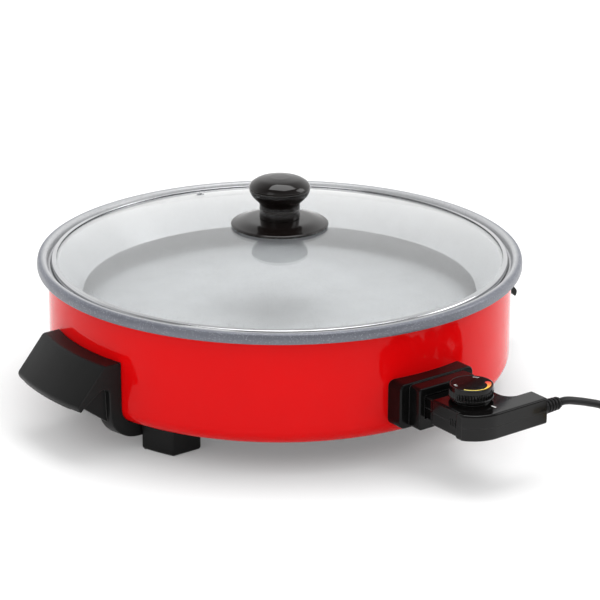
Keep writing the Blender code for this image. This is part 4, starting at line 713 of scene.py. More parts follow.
@dataclass(frozen=True)
class Finish:
    """A finish with a fine grain, a slightly uneven tone and roughness, and a painted highlight
    along its edges.

    Attributes:
        name: The material's name.
        slot: The record's slot that it belongs to.
        colour: Its colour.
        roughness: Its middle roughness.
        metallic: 1 for bare metal.
        specular: The specular level, 0.5 for most plastics.
        coat: The weight of a clear glossy layer.
        mottle: How much lighter and darker the colour turns.
        mottle_scale: How fine that is.
        spread: How much the roughness varies.
        grain_scale: How fine the grain is.
        grain_depth: The grain's depth.
        drawn: Whether the grain runs in drawn lines.
        edge: The lighter colour painted along its edges as a highlight.
        edge_strength: How strongly that painted highlight shows there.
    """

    name: str
    slot: Slot
    colour: Colour
    roughness: float
    metallic: float = 0.0
    specular: float = 0.5
    coat: float = 0.0
    mottle: float = 0.06
    mottle_scale: float = 45.0
    spread: float = 0.03
    grain_scale: float = 1400.0
    grain_depth: float = 0.02 * MM
    drawn: bool = False
    edge: Colour = (0.3, 0.3, 0.3)
    edge_strength: float = 0.0

    def material(self) -> bpy.types.Material:
        """The material, built the first time it is asked for."""
        known = bpy.data.materials.get(self.name)
        if known:
            return known
        made = bpy.data.materials.new(self.name)
        made.diffuse_color = (*self.colour, 1.0)
        tree = Tree.blank(made)
        levels = {"Metallic": self.metallic, "Specular IOR Level": self.specular}
        levels |= {"Coat Weight": self.coat, "Coat Roughness": 0.03}
        shader = tree.add("ShaderNodeBsdfPrincipled", levels)
        self.dress(tree, shader)
        tree.add("ShaderNodeOutputMaterial", {"Surface": self.surface(tree, shader)})
        return made

    def mottled(self, tree: Tree, colour: Any, scale: float) -> Socket:
        """A colour, plain or from a socket, made as uneven as the finish is."""
        given = {"Color": colour, "Scale": scale, "Amount": self.mottle}
        return tree.effect("mottle", given).outputs[0]

    def uneven(self, tree: Tree, scale: float) -> Socket:
        """The finish's uneven roughness."""
        given = {"Roughness": self.roughness, "Spread": self.spread, "Scale": scale}
        return tree.effect("handled", given).outputs[0]

    def base(self, tree: Tree) -> Socket:
        """The uneven colour of the finish."""
        return self.mottled(tree, (*self.colour, 1.0), self.mottle_scale)

    def dress(self, tree: Tree, shader: Node) -> None:
        """Give the shader its colour, roughness and grain."""
        tree.feed(shader.inputs["Base Color"], self.edged(tree, self.base(tree)))
        tree.feed(shader.inputs["Roughness"], self.uneven(tree, 35.0))
        kind = "drawn_lines" if self.drawn else "fine_grain"
        height = tree.effect(kind, {"Scale": self.grain_scale}).outputs[0]
        bump = {"Strength": 1.0, "Distance": self.grain_depth, "Height": height}
        tree.feed(shader.inputs["Normal"], tree.add("ShaderNodeBump", bump).outputs[0])

    def edged(self, tree: Tree, colour: Socket) -> Socket:
        """The colour with the painted edge highlight over it."""
        if not self.edge_strength:
            return colour
        # painted highlight: the edge colour is mixed over the rounded edges
        mask = tree.effect("painted_edge_highlight", {"Reach": 0.0006, "Strength": self.edge_strength})
        return tree.mixed(mask.outputs[0], colour, (*self.edge, 1.0))

    def surface(self, tree: Tree, shader: Node) -> Socket:
        """The output that shows."""
        return shader.outputs[0]


@dataclass(frozen=True)
class SpeckledCoat(Finish):
    """A non-stick coating with fine light and dark flecks.

    Attributes:
        light: The light flecks' colour.
        dark: The dark flecks' colour.
        fleck_share: How strongly the flecks show.
        inside: The lighter colour painted inside the pan and over the rim's inner half, standing in
            for the brighter light in the pan and the far rim's pale reflection.
        inside_end: How far from the pan's axis that reaches.
    """

    light: Colour = tone(200, 201, 204)
    dark: Colour = tone(78, 79, 83)
    fleck_share: float = 0.5
    inside: Colour = tone(180, 181, 183)
    inside_end: float = 184.0 * MM

    def base(self, tree: Tree) -> Socket:
        """The uneven grey, painted lighter inside the pan and over the rim's inner half for the
        light there, with both kinds of fleck.
        """
        soft = 1.5 * MM
        # painted light: within inside_end of the pan's axis and above the cooking floor's level,
        # the grey turns to the lighter inside colour
        split = tree.parts(tree.where())
        offsets = (split[0], tree.sum("SUBTRACT", split[1], DATUM.pan_y))
        squares = [tree.sum("MULTIPLY", offset, offset) for offset in offsets]
        away = tree.sum("SQRT", tree.sum("ADD", *squares))
        share = tree.spread(away, 1.0, 0.0, self.inside_end - soft, self.inside_end + soft)
        above = tree.sum("GREATER_THAN", split[2], DATUM.floor_z - 1.0 * MM)
        inside = self.mottled(tree, (*self.inside, 1.0), self.mottle_scale)
        colour = tree.mixed(tree.sum("MULTIPLY", share, above), super().base(tree), inside)
        for scale, part, fleck in ((1500.0, 0.22, self.light), (1250.0, 0.2, self.dark)):
            mask = tree.effect("flecks", {"Scale": scale, "Share": part}).outputs[0]
            colour = tree.mixed(tree.sum("MULTIPLY", mask, self.fleck_share), colour, (*fleck, 1.0))
        return colour


@dataclass(frozen=True)
class Enamel(Finish):
    """A glossy coat whose soft light on its neighbours is nearly grey.

    Attributes:
        cast: The colour of that light.
    """

    cast: Colour = (0.16, 0.10, 0.10)

    def base(self, tree: Tree) -> Socket:
        """The coat's red, or its greyed light where only a diffuse ray sees it."""
        return tree.mixed(tree.path()["Is Diffuse Ray"], super().base(tree), (*self.cast, 1.0))


@dataclass(frozen=True)
class ClearGlass(Finish):
    """Tempered glass that lets the lamps through, with the finest smears."""

    def dress(self, tree: Tree, shader: Node) -> None:
        """Set the glass's own values and its smears."""
        given = {"Base Color": (*self.colour, 1.0), "Transmission Weight": 1.0, "IOR": 1.5}
        for name, value in given.items():
            tree.feed(shader.inputs[name], value)
        tree.feed(shader.inputs["Roughness"], self.uneven(tree, 14.0))

    def surface(self, tree: Tree, shader: Node) -> Socket:
        """The glass, which light from the lamps passes."""
        through = tree.add("ShaderNodeBsdfTransparent", {"Color": (0.94, 0.955, 0.955, 1.0)})
        given = {0: tree.path()["Is Shadow Ray"], 1: shader.outputs[0], 2: through.outputs[0]}
        return tree.add("ShaderNodeMixShader", given).outputs[0]


@dataclass(frozen=True)
class HeatBand(Finish):
    """Printed ink that runs from yellow through orange to red round the dial.

    Attributes:
        start: The angle where it is yellow, from +X, in turns.
        end: The angle where it is red.
    """

    start: float = -0.43
    end: float = -0.07

    def base(self, tree: Tree) -> Socket:
        """The ink's colour by its angle round the dial's axis."""
        split = tree.parts(tree.vector("SUBTRACT", tree.where(), DATUM.dial))
        turn = tree.sum("DIVIDE", tree.sum("ARCTAN2", split[1], split[0]), math.tau)
        share = tree.spread(turn, 0.0, 1.0, self.start, self.end)
        ramp = tree.add("ShaderNodeValToRGB", {0: share})
        stops = ramp.color_ramp.elements
        stops[0].color = (*tone(250, 236, 130), 1.0)
        stops[1].color = (*tone(206, 34, 30), 1.0)
        for place, colour in ((0.6, tone(247, 205, 60)), (0.8, tone(240, 130, 44))):
            stops.new(place).color = (*colour, 1.0)
        return self.mottled(tree, ramp.outputs[0], 400.0)


ENAMEL = Enamel(
    "red_enamel_coat", Slot.ENAMEL, tone(220, 8, 11), roughness=0.06, specular=0.1, mottle=0.035,
    mottle_scale=9.0, spread=0.02, grain_scale=70.0, grain_depth=0.03 * MM,
)
NONSTICK = SpeckledCoat(
    "speckled_nonstick", Slot.NONSTICK, tone(106, 109, 118), roughness=0.35, metallic=0.25,
    mottle=0.05, spread=0.03, grain_scale=900.0, grain_depth=0.03 * MM,
)
# The edge colours of the black finishes below are painted highlights on their rounded edges.
MATTE = Finish(
    "moulded_matte_black", Slot.MATTE, tone(17, 17, 17), roughness=0.38, specular=0.18, mottle=0.12,
    spread=0.05, grain_scale=1300.0, grain_depth=0.05 * MM, edge=tone(120, 120, 118),
    edge_strength=0.6,
)
GLOSS = Finish(
    "polished_black", Slot.GLOSS, tone(10, 9, 9), roughness=0.09, specular=0.26, mottle=0.1,
    spread=0.04, grain_scale=420.0, grain_depth=0.006 * MM, edge=tone(128, 128, 128),
    edge_strength=0.28,
)
KNOB_BLACK = replace(
    GLOSS, name="warm_polished_black", colour=tone(17, 13, 12), roughness=0.08, specular=0.42,
    spread=0.03, edge=tone(150, 146, 142), edge_strength=0.4,
)
SATIN = replace(
    MATTE, name="satin_black", slot=Slot.GLOSS, colour=tone(13, 13, 13), roughness=0.2,
    specular=0.14, grain_scale=1500.0, grain_depth=0.015 * MM, edge=tone(120, 120, 120),
    edge_strength=0.45,
)
BRIGHT = Finish(
    "polished_band_steel", Slot.BRIGHT, tone(205, 206, 208), roughness=0.13, metallic=1.0,
    mottle=0.04, grain_scale=900.0, grain_depth=0.004 * MM, drawn=True,
)
STEEL = replace(
    BRIGHT, name="plain_sheet_steel", slot=Slot.STEEL, colour=tone(186, 187, 190), roughness=0.32,
    mottle=0.08, spread=0.06, grain_scale=700.0, grain_depth=0.01 * MM,
)
BRASS = replace(
    BRIGHT, name="bright_brass", slot=Slot.BRASS, colour=tone(214, 186, 118), roughness=0.22,
    mottle=0.1, grain_scale=800.0, grain_depth=0.008 * MM,
)
GLASS = ClearGlass(
    "clear_lid_glass", Slot.GLASS, (0.965, 0.975, 0.975), roughness=0.012, spread=0.008
)
CERAMIC = Finish("pressed_ceramic", Slot.CERAMIC, tone(232, 226, 214), roughness=0.6)
SILICONE = Finish("grey_silicone", Slot.SILICONE, tone(150, 150, 148), roughness=0.55)
INK_WHITE = Finish("white_ink", Slot.PRINT, tone(226, 226, 224), roughness=0.35, mottle=0.1)
INK_BLACK = Finish(
    "dial_face_black", Slot.PRINT, tone(12, 12, 12), roughness=0.16, specular=0.06, mottle=0.08,
    grain_depth=0.002 * MM,
)
INK_HEAT = HeatBand("heat_scale_ink", Slot.PRINT, tone(240, 150, 40), roughness=0.3)
JACKET = Finish(
    "cord_jacket", Slot.CORD, tone(20, 20, 21), roughness=0.34, specular=0.22, mottle=0.1,
    grain_scale=1600.0, grain_depth=0.03 * MM,
)
TIE_BAND = Finish("tie_band", Slot.CORD, tone(44, 44, 46), roughness=0.5, grain_depth=0.05 * MM)


def fitted(
    shape: Shape, body: Body, finish: Finish, *nodes: str, shade: bool = True
) -> Shape:
    """Finish a piece and set it in the frame.

    Args:
        shape: The piece.
        body: The body that carries it.
        finish: Its finish.
        *nodes: The CAD nodes that it stands for.
        shade: Whether it still needs its shading set.

    Returns:
        The piece.
    """
    if shade:
        crisp(shape)
    shape.data.materials.clear()
    shape.data.materials.append(finish.material())
    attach(shape, body.value)
    if nodes:
        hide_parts(*nodes)
    LOG.info("%s on %s, finish %s", shape.name, body.value, finish.name)
    return shape


def on_axis(shape: Shape, body: Body, finish: Finish, *nodes: str) -> Shape:
    """Finish a piece that is made round the pan's axis."""
    return fitted(set_at(shape, DATUM.pan), body, finish, *nodes)


# Studio


@dataclass
class Studio:
    """The camera, the lamps and the pale floor.

    Attributes:
        aim: The point that the camera looks at.
        azimuth: The camera's angle round the skillet from -Y, in degrees.
        elevation: Its height above level, in degrees.
        distance: Its distance from the aim.
        lens: Its focal length in millimetres, on a 36 mm sensor.
        shift: The picture's shift across and up.
        floor_size: The floor's side.
        far_way: The level way from the camera to the skillet.
        near_glow: How bright the studio's near side is in a mirror.
        top_glow: How bright its top is there.
        ambient: How bright it is for everything else.
        floor_lift: How much light the floor adds of its own where it is seen.
    """

    aim: Point2 = (DATUM.pan_y, DATUM.lip_z)
    azimuth: float = -36.4
    elevation: float = 18.86
    distance: float = 1.75
    lens: float = 134.82
    shift: Point2 = (0.0338, -0.0692)
    floor_size: float = 16.0
    far_way: tuple[float, float, float] = (0.593, 0.805, 0.0)
    near_glow: float = 0.42
    top_glow: float = 0.42
    ambient: float = 0.95
    floor_lift: float = 0.14

    def camera(self) -> None:
        """Stand the camera where the photograph was taken from."""
        around, up = math.radians(self.azimuth), math.radians(self.elevation)
        level = math.cos(up)
        away = Vector((math.sin(around) * level, -math.cos(around) * level, math.sin(up)))
        data = bpy.data.cameras.new("studio_camera")
        data.sensor_width = 36.0
        data.lens = self.lens
        data.shift_x, data.shift_y = self.shift
        data.clip_start, data.clip_end = 0.05, 60.0
        view = linked("studio_camera", data)
        view.location = Vector((0, *self.aim)) + away * self.distance
        view.rotation_euler = away.to_track_quat("Z", "Y").to_euler()
        bpy.context.scene.camera = view

    def lamp(self, name: str, place: Vector, size: Point2, power: float) -> None:
        """Hang a soft box that faces the skillet.

        Args:
            name: The lamp's name.
            place: Where it hangs.
            size: Its two sides.
            power: Its power in watts.
        """
        data = bpy.data.lights.new(name, "AREA")
        data.shape = "RECTANGLE"
        data.size, data.size_y = size
        data.energy = power
        box = linked(name, data)
        box.location = place
        box.rotation_euler = (place - Vector((0, *self.aim))).to_track_quat("Z", "Y").to_euler()

    def lamps(self) -> None:
        """Light the skillet softly from above and behind, with a weaker fill in front."""
        self.lamp("overhead_box", Vector((0.3, 0.15, 2.0)), (1.5, 1.3), 20.0)
        self.lamp("left_box", Vector((-1.7, -0.5, 1.1)), (0.8, 1.4), 3.0)
        self.lamp("right_box", Vector((1.6, -0.9, 1.1)), (0.9, 1.3), 10.0)

    def world(self) -> None:
        """A white studio that is darker overhead and in front, where mirrors look."""
        world = bpy.data.worlds.new("studio")
        bpy.context.scene.world = world
        tree = Tree.blank(world)
        where = tree.where("Generated")
        away = tree.vector("DOT_PRODUCT", where, self.far_way)
        side = tree.spread(away, self.near_glow, 1.0, -0.2, 0.45)
        top = tree.spread(tree.parts(where)[2], 1.0, self.top_glow, 0.45, 0.9)
        mirror = tree.path()["Is Glossy Ray"]
        shown = tree.sum("MULTIPLY", mirror, tree.sum("MULTIPLY", side, top))
        rest = tree.sum("MULTIPLY", tree.sum("SUBTRACT", 1.0, mirror), self.ambient)
        strength = tree.sum("MAXIMUM", self.seen(tree), tree.sum("ADD", shown, rest))
        white = tree.add("ShaderNodeBackground", {"Color": (1, 1, 1, 1), "Strength": strength})
        tree.add("ShaderNodeOutputWorld", {"Surface": white.outputs[0]})

    @staticmethod
    def seen(tree: Tree) -> Socket:
        """1 for what the camera sees straight, or through glass."""
        path = tree.path()
        return tree.sum("MAXIMUM", path["Is Camera Ray"], path["Is Transmission Ray"])

    def floor(self) -> None:
        """A plain pale floor that keeps the skillet's soft shadow."""
        bm = bmesh.new()
        bmesh.ops.create_grid(bm, x_segments=8, y_segments=8, size=self.floor_size / 2)
        ground = shape_from("studio_floor", bm)
        made = bpy.data.materials.new("pale_floor")
        tree = Tree.blank(made)
        seen = tree.sum("MAXIMUM", self.seen(tree), tree.path()["Is Glossy Ray"])
        paint = {"Color": (0.80, 0.80, 0.80, 1.0), "Scale": 0.8, "Amount": 0.01}
        matt = tree.add("ShaderNodeBsdfDiffuse", {"Color": tree.effect("mottle", paint).outputs[0]})
        lift = {"Color": (1, 1, 1, 1), "Strength": tree.sum("MULTIPLY", seen, self.floor_lift)}
        glow = tree.add("ShaderNodeEmission", lift)
        both = tree.add("ShaderNodeAddShader", {0: matt.outputs[0], 1: glow.outputs[0]})
        tree.add("ShaderNodeOutputMaterial", {"Surface": both.outputs[0]})
        ground.data.materials.append(made)

    def build(self) -> None:
        """Set up everything that isn't the skillet."""
        bpy.context.scene.view_settings.view_transform = "Standard"
        self.world()
        self.floor()
        self.lamps()


# Cord


@dataclass
class Cord:
    """The power cord with its coil, tie and plug.

    Attributes:
        radius: The jacket's radius.
        length: The cord's whole length; not used.
        start: Where it leaves the strain relief.
        route: Its way down to the coil, from the pan's axis, in millimetres.
        coil_centre: The coil's middle, from the pan's axis.
        middle_radius: The radius of the coil's middle turn.
        pitch: The distance between turns.
        layer_turns: The turns of each of its two layers.
        climb_turns: The turns between them.
        turn_points: Points in each turn.
        base_z: The lower layer's height.
        spacing: The distance between the points on the way down.
        plug_tail: The length of the plug's ribbed tail.
        plug_length: The length of the plug's body.
        plug_half: Half the plug's width.
        tail_ribs: How many ribs the tail has.
        tail_radii: The tail's radius at the cord and at the body.
    """

    radius: float = 3.0 * MM
    length: float = 0.860
    start: Vector = field(default_factory=lambda: Vector((64.1 * MM, -214.75 * MM, 50.6 * MM)))
    route: tuple[tuple[float, float, float], ...] = (
        (78.0, -250.4, 48.7),
        (88.0, -250.4, 45.4),
        (98.0, -250.5, 41.9),
        (107.0, -250.7, 38.2),
        (119.0, -251.0, 31.6),
        (132.0, -251.3, 22.6),
        (145.0, -251.6, 13.4),
        (157.0, -251.8, 7.2),
        (168.0, -252.0, 4.4),
    )
    coil_centre: Point2 = (183.0 * MM, -290.8 * MM)
    middle_radius: float = 33.0 * MM
    pitch: float = 6.6 * MM
    layer_turns: float = 1.5
    climb_turns: float = 0.5
    turn_points: int = 24
    base_z: float = 4.1 * MM
    spacing: float = 13.0 * MM
    plug_tail: float = 25.0 * MM
    plug_length: float = 30.0 * MM
    plug_half: float = 12.0 * MM
    tail_ribs: int = 6
    tail_radii: Point2 = (3.7 * MM, 4.8 * MM)

    def coil(self) -> list[Vector]:
        """The coil's line: in on the table, up a layer, and out again."""
        turns = 2 * self.layer_turns + self.climb_turns
        outer = self.middle_radius + self.pitch * turns / 4
        x, y = self.coil_centre[0], self.coil_centre[1] + DATUM.pan_y
        lead = Vector((-2 * self.radius, 0, 0))
        points = []
        count = round(turns * self.turn_points)
        for i in range(count + 1):
            u = turns * i / count
            reach = outer - self.pitch * (turns / 2 - abs(u - turns / 2))
            climb = min(max((u - self.layer_turns) / self.climb_turns, 0), 1)
            rise = climb * climb * (3 - 2 * climb)
            angle = math.pi / 2 - math.tau * u
            height = self.base_z + self.pitch * rise
            spot = (x + reach * math.cos(angle), y + reach * math.sin(angle), height)
            points.append(Vector(spot))
        return [points[0] + lead, *points, points[-1] + lead]

    def line(self) -> list[Vector]:
        """The cord's whole centreline, from the strain relief to the plug."""
        coil = self.coil()
        straight = Vector((2 * self.radius, 0, 0))
        route = [Vector(point) * MM + DATUM.pan for point in self.route]
        end = coil[0] - Vector((GAP, 0, 0))
        knots = [self.start + straight, *route, end - straight]
        return [self.start, *self.evened(knots), end, *coil]

    def evened(self, knots: list[Vector]) -> list[Vector]:
        """Points at even distances on a smooth line through knots."""
        fine = smooth(knots, 8)
        lengths = list(accumulate(((b - a).length for a, b in pairwise(fine)), initial=0.0))
        count = max(2, round(lengths[-1] / self.spacing))
        path, i = [], 0
        for step in range(count + 1):
            wanted = lengths[-1] * step / count
            while i < len(fine) - 2 and lengths[i + 1] < wanted:
                i += 1
            share = (wanted - lengths[i]) / (lengths[i + 1] - lengths[i])
            path.append(fine[i].lerp(fine[i + 1], share))
        return path

    def lead(self, points: Sequence[Vector]) -> Shape:
        """The jacket along its line."""
        curve = bpy.data.curves.new("cord_lead", "CURVE")
        curve.dimensions = "3D"
        curve.bevel_depth = self.radius
        curve.bevel_resolution = 6
        curve.resolution_u = 4
        curve.use_fill_caps = True
        spline = curve.splines.new("BEZIER")
        spline.bezier_points.add(len(points) - 1)
        for knot, point in zip(spline.bezier_points, points):
            knot.co = point
            knot.handle_left_type = knot.handle_right_type = "AUTO"
        lead = linked("cord_lead", curve)
        return fitted(lead, Body.CONTROL, JACKET, "power_cord", "cord_coil", shade=False)

    def tie(self) -> Shape:
        """The reusable band round the coil's strands, with its overlapping end."""
        low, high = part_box("cord_tie")
        half, wide, tall = (high.y - low.y) / 2, (high.x - low.x) / 2, high.z
        centre = ((low.x + high.x) / 2, (low.y + high.y) / 2, 0)
        wall, edge = 0.8 * MM, 0.2 * MM
        outer = softened(rectangle(-wide, 0, wide, tall), 3.2 * MM, 6)
        inner = softened(rectangle(wall - wide, wall, wide - wall, tall - wall), 2.4 * MM, 6)
        band = plate("tie_loop", [outer, inner], -half, half, edge)
        overlap, thick, side, base = 5.2 * MM, 0.9 * MM, half - 0.7 * MM, tall * 0.42
        tail = boxed("tie_tail", (wide - overlap, base, -side), (wide, base + thick, side), edge)
        whole = set_at(joined("cord_tie_band", band, tail), centre, QUARTER_X)
        return fitted(whole, Body.CONTROL, TIE_BAND, "cord_tie")

    def tail(self) -> Shape:
        """The plug's ribbed tail, from its end at the cord down into the body."""
        thin, thick = self.tail_radii
        pitch, depth, soft, root = self.plug_tail / self.tail_ribs, 0.7 * MM, 0.3 * MM, -4 * MM
        profile = [(0.0, self.plug_tail)]
        for i in range(self.tail_ribs):
            outer = thin + (thick - thin) * i / (self.tail_ribs - 1)
            top = self.plug_tail - self.plug_tail * i / self.tail_ribs
            profile += [(outer - soft, top), (outer, top - soft), (outer, top - pitch * 0.62)]
            profile += [(outer - depth, top - pitch * share) for share in (0.72, 0.92)]
        return turned("plug_tail", [*profile, (thick, 0.0), (thick, root), (0.0, root)], 40)

    def plug(self, end: Vector) -> list[Shape]:
        """The moulded plug with its ribbed tail, grips and two blades."""
        x, y, z = end
        body_x = x - GAP - self.plug_tail
        narrow, wide = self.plug_half * 0.72, self.plug_half - 0.1 * MM
        face, shoulder, waist = body_x - self.plug_length, body_x - 11 * MM, body_x - 1 * MM
        plan = [(face, y - wide), (shoulder, y - wide), (waist, y - narrow)]
        plan += [(waist, y + narrow), (shoulder, y + wide), (face, y + wide)]
        reach = [v * MM for v in (1.6, 8, 5, 5, 8, 1.6)]
        shapes = [plate("plug_shell", [softened(plan, reach, 6)], 0.05 * MM, 2 * z, 2.6 * MM, 5)]
        thick, sunk, proud = 0.6 * MM, 0.8 * MM, 0.02 * MM
        for i in range(4):
            ridge_x, half = body_x - (6 + 2.6 * i) * MM, narrow * (0.62 + 0.08 * i)
            low = (ridge_x - thick, y - half, 2 * z - sunk)
            high = (ridge_x + thick, y + half, 2 * z + proud)
            shapes.append(boxed("ridge", low, high, 0.25 * MM))
        shapes.append(set_at(self.tail(), (body_x, y, z), QUARTER_Y))
        pieces = [fitted(joined("plug_moulding", *shapes), Body.CONTROL, JACKET, "plug_body")]
        for word in SIDES:
            low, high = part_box(f"plug_blade_{word}")
            tall, thick = (high.z - low.z) / 2, (high.y - low.y) / 2
            tip = [(low.x, -tall * 0.62), (low.x + 1.4 * MM, -tall), (high.x, -tall)]
            outline = softened(tip + [(px, -py) for px, py in reversed(tip)], 0.3 * MM)
            hole = circle((low.x + 5.2 * MM, 0), 1.6 * MM, 20)
            blade = plate(f"plug_prong_{word}", [outline, hole], -thick, thick, 0.2 * MM)
            set_at(blade, (0, (low.y + high.y) / 2, (low.z + high.z) / 2), QUARTER_X)
            pieces.append(fitted(blade, Body.CONTROL, BRASS, f"plug_blade_{word}"))
        return pieces

    def build(self) -> None:
        """Lay the cord with its tie and plug."""
        points = self.line()
        lead = self.lead(points)
        others = [self.tie(), *self.plug(points[-1])]
        tuple(self.start)


# Pan and casing


@dataclass
class Pan:
    """The cast pan, its enamelled casing and the vented plate below.

    Attributes:
        overhang: How far the rim stands out over the casing.
        rim_height: The rim's height.
        rim_shares: The rim's section as shares of those two.
        floor_radius: The cooking floor's flat radius.
        fillet: The radius between floor and wall.
        wall: The pan's thickness at the wall.
        floor_wall: Its thickness at the floor.
        casing_fillet: The casing's lower edge.
        casing_wall: The casing's thickness.
        mouth_radius: The opening below the casing.
        plate_radius: The base plate's radius.
        screw_bore: The radius of the base plate's screw holes and of the posts' bores.
        vents: How many slots the base plate has.
        steps: How many columns the round shapes have.
    """

    overhang: float = 8.0 * MM
    rim_height: float = 7.6 * MM
    rim_shares: tuple[Point2, ...] = (
        (0.0, 0.50), (0.10, 0.79), (0.28, 0.95), (0.50, 1.0), (0.72, 0.97), (0.91, 0.82),
        (1.0, 0.47), (1.0, 0.12),
    )
    floor_radius: float = 152.0 * MM
    fillet: float = 17.0 * MM
    wall: float = 3.6 * MM
    floor_wall: float = 3.0 * MM
    casing_fillet: float = 13.1 * MM
    casing_wall: float = 1.2 * MM
    mouth_radius: float = 118.0 * MM
    plate_radius: float = 127.0 * MM
    screw_bore: float = 2.3 * MM
    vents: int = 12
    steps: int = 224

    @staticmethod
    def base_screw_spots() -> list[Vector]:
        """The places of the base plate's screws, from the pan's axis."""
        return [polar(DATUM.base_screws, math.pi + math.tau * i / 3).xy for i in range(3)]

    def posts(self) -> list[Shape]:
        """The bored posts under the floor, four for the feet's screws and three for the plate's."""
        x, y = DATUM.foot_screw_x, DATUM.foot_screw_y
        places = [(Vector((i, k)), 23.4 * MM) for i in (-x, x) for k in (-y, y)]
        places += [(spot, DATUM.casing_low_z) for spot in self.base_screw_spots()]
        top, depth, outer, bore = DATUM.floor_z - 1.5 * MM, 14 * MM, 5 * MM, self.screw_bore
        shapes = []
        for place, low in places:
            walls = [(outer, top), (outer, low), (bore, low), (bore, low + depth)]
            post = turned("post", [(0.0, top), *walls, (0.0, low + depth)], 24)
            shapes.append(set_at(post, (*place, 0)))
        return shapes

    def pan(self) -> Shape:
        """The pan, from the middle of its floor over the rim and back below."""
        lip, ledge, floor = DATUM.lip_z, DATUM.ledge_z, DATUM.floor_z
        under = floor - self.floor_wall
        centre = (self.floor_radius, floor + self.fillet)
        rim = shared(self.rim_shares, self.overhang, self.rim_height, (DATUM.casing_radius, lip))
        ledges = [(170.1 * MM, ledge - GAP), (171.1 * MM, ledge), (177.4 * MM, ledge)]
        ledges += near((0.0, 0.0), (177.7, 106.1), (179.4, 106.4))
        profile = [
            *[(radius, floor) for radius in (0.0, 60 * MM, 120 * MM)],
            *arc(centre, self.fillet, -90, 0, 16),
            *softened([centre, *ledges, (DATUM.casing_radius, lip)], 0.5 * MM)[3:-4],
            *flowing(rim),
            *near((0.0, lip), (187.7, 0.1), (187.2, 0), (178.5, 0)),
            (176.5 * MM, 100.4 * MM),
            *arc(centre, self.fillet + self.wall, 0, -60),
            (self.floor_radius, under),
            (0.0, under),
        ]
        casting = joined("pan_casting", turned("pan_casting", profile, self.steps), *self.posts())
        return on_axis(casting, Body.PAN, NONSTICK, "cooking_pan")

    def casing(self) -> Shape:
        """The red outer shell, open below, with its window for the inlet."""
        low, radius, top = DATUM.casing_low_z, DATUM.casing_radius, DATUM.lip_z - GAP
        centre = (radius - self.casing_fillet, low + self.casing_fillet)
        profile = [
            *near((radius, top), (-0.9, 0), (-0.35, -0.1), (0, -0.5)),
            *[(radius, top - (top - centre[1]) * i / 6) for i in range(1, 6)],
            *arc(centre, self.casing_fillet, 0, -90, 18),
            *near((self.mouth_radius, low), (30, 0), (0, 0)),
            (self.mouth_radius, low + self.casing_wall),
            *arc(centre, self.casing_fillet - self.casing_wall, -90, 0, 12),
            (radius - self.casing_wall, top),
        ]
        shape = set_at(turned("casing_shell", profile, self.steps, ring=True), DATUM.pan)
        half, tall = 18.5 * MM, 5.2 * MM
        near_y, far_y = DATUM.pan_y - 184 * MM, DATUM.pan_y - DATUM.rounding_x
        corner = (half, far_y, DATUM.probe_z + tall)
        window = boxed("inlet_window", (-half, near_y, DATUM.probe_z - tall), corner)
        return fitted(worked(shape, Cut.AWAY, window), Body.PAN, ENAMEL, "outer_casing")

    def base_plate(self) -> Shape:
        """The plate that closes the casing below, with its vents."""
        low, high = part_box("base_plate")
        away, half, soft = 98 * MM, 11 * MM, 2 * MM
        vent = arc((away, half), soft, 0, 180) + arc((away, -half), soft, 180, 360)
        outlines = [circle((0, 0), self.plate_radius, self.steps // 2)]
        for i in range(self.vents):
            turn = Matrix.Rotation(math.tau * (i + 0.5) / self.vents, 2)
            outlines.append([tuple(turn @ Vector(point)) for point in vent])
        outlines += [circle(spot, self.screw_bore, 16) for spot in self.base_screw_spots()]
        sheet = plate("base_plate_sheet", outlines, low.z, high.z, 0.3 * MM)
        return on_axis(sheet, Body.PAN, STEEL, "base_plate")

    def build(self) -> None:
        """Make the pan group's round pieces."""
        self.pan()
        self.casing()
        self.base_plate()


@dataclass
class Screws:
    """Every pan-head screw with its crossed recess, made pointing up.

    Attributes:
        kinds: For each kind its CAD name, how many there are, its head's and its shank's radius,
            and the body that carries it.
        pitch: The thread's pitch.
        recess: The recess's arm, as a share of the head's radius.
    """

    kinds: tuple[tuple[str, int, float, float, Body], ...] = (
        ("base_screw", 3, 4.0 * MM, 2.0 * MM, Body.PAN),
        ("handle_screw", 4, 4.0 * MM, 2.0 * MM, Body.PAN),
        ("housing_screw", 2, 2.3 * MM, 1.2 * MM, Body.CONTROL),
    )
    pitch: float = 0.9 * MM
    recess: float = 0.62

    def screw(self, name: str, head: float, shank: float, body: Body) -> None:
        """One screw in the place of its CAD node.

        Args:
            name: The CAD node's name.
            head: The head's radius.
            shank: The shank's radius.
            body: The body that carries it.
        """
        low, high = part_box(name)
        middle = (low + high) / 2
        length = (high - low).z
        top = 0.6 * head
        crown = [(0.0, 0.0), (head * 0.5, 0.06 * top), (head * 0.86, 0.3 * top), (head, 0.7 * top)]
        profile = [*flowing(crown, 3), (head, 0.95 * top), (head - 0.1 * MM, top), (shank, top)]
        for i in range(round((length - top - 1.5 * MM) / self.pitch)):
            z = top + 0.6 * MM + self.pitch * i
            profile += [(shank * 0.86, z), (shank, z + self.pitch / 2)]
        profile += [(shank * 0.7, length - 0.2 * MM), (0.0, length)]
        shape = turned(f"{name}_turned", profile, 28)
        arm, half = head * self.recess, head * 0.11
        for spin in (0.0, math.pi / 2):
            slot = boxed("screw_slot", (-arm, -half, -0.5 * MM), (arm, half, top * 0.55))
            set_at(slot, (0, 0, 0), Matrix.Rotation(spin + math.radians(20), 3, "Z"))
            worked(shape, Cut.AWAY, slot)
        up = Vector((0, 0, 1))
        set_at(shape, middle - up * length / 2, facing(up))
        fitted(shape, body, STEEL, name)

    def build(self) -> None:
        """Make the screws that show from outside."""
        for name, count, *rest in self.kinds:
            for i in range(count):
                self.screw(f"{name}_{i + 1}", *rest)


# Handles


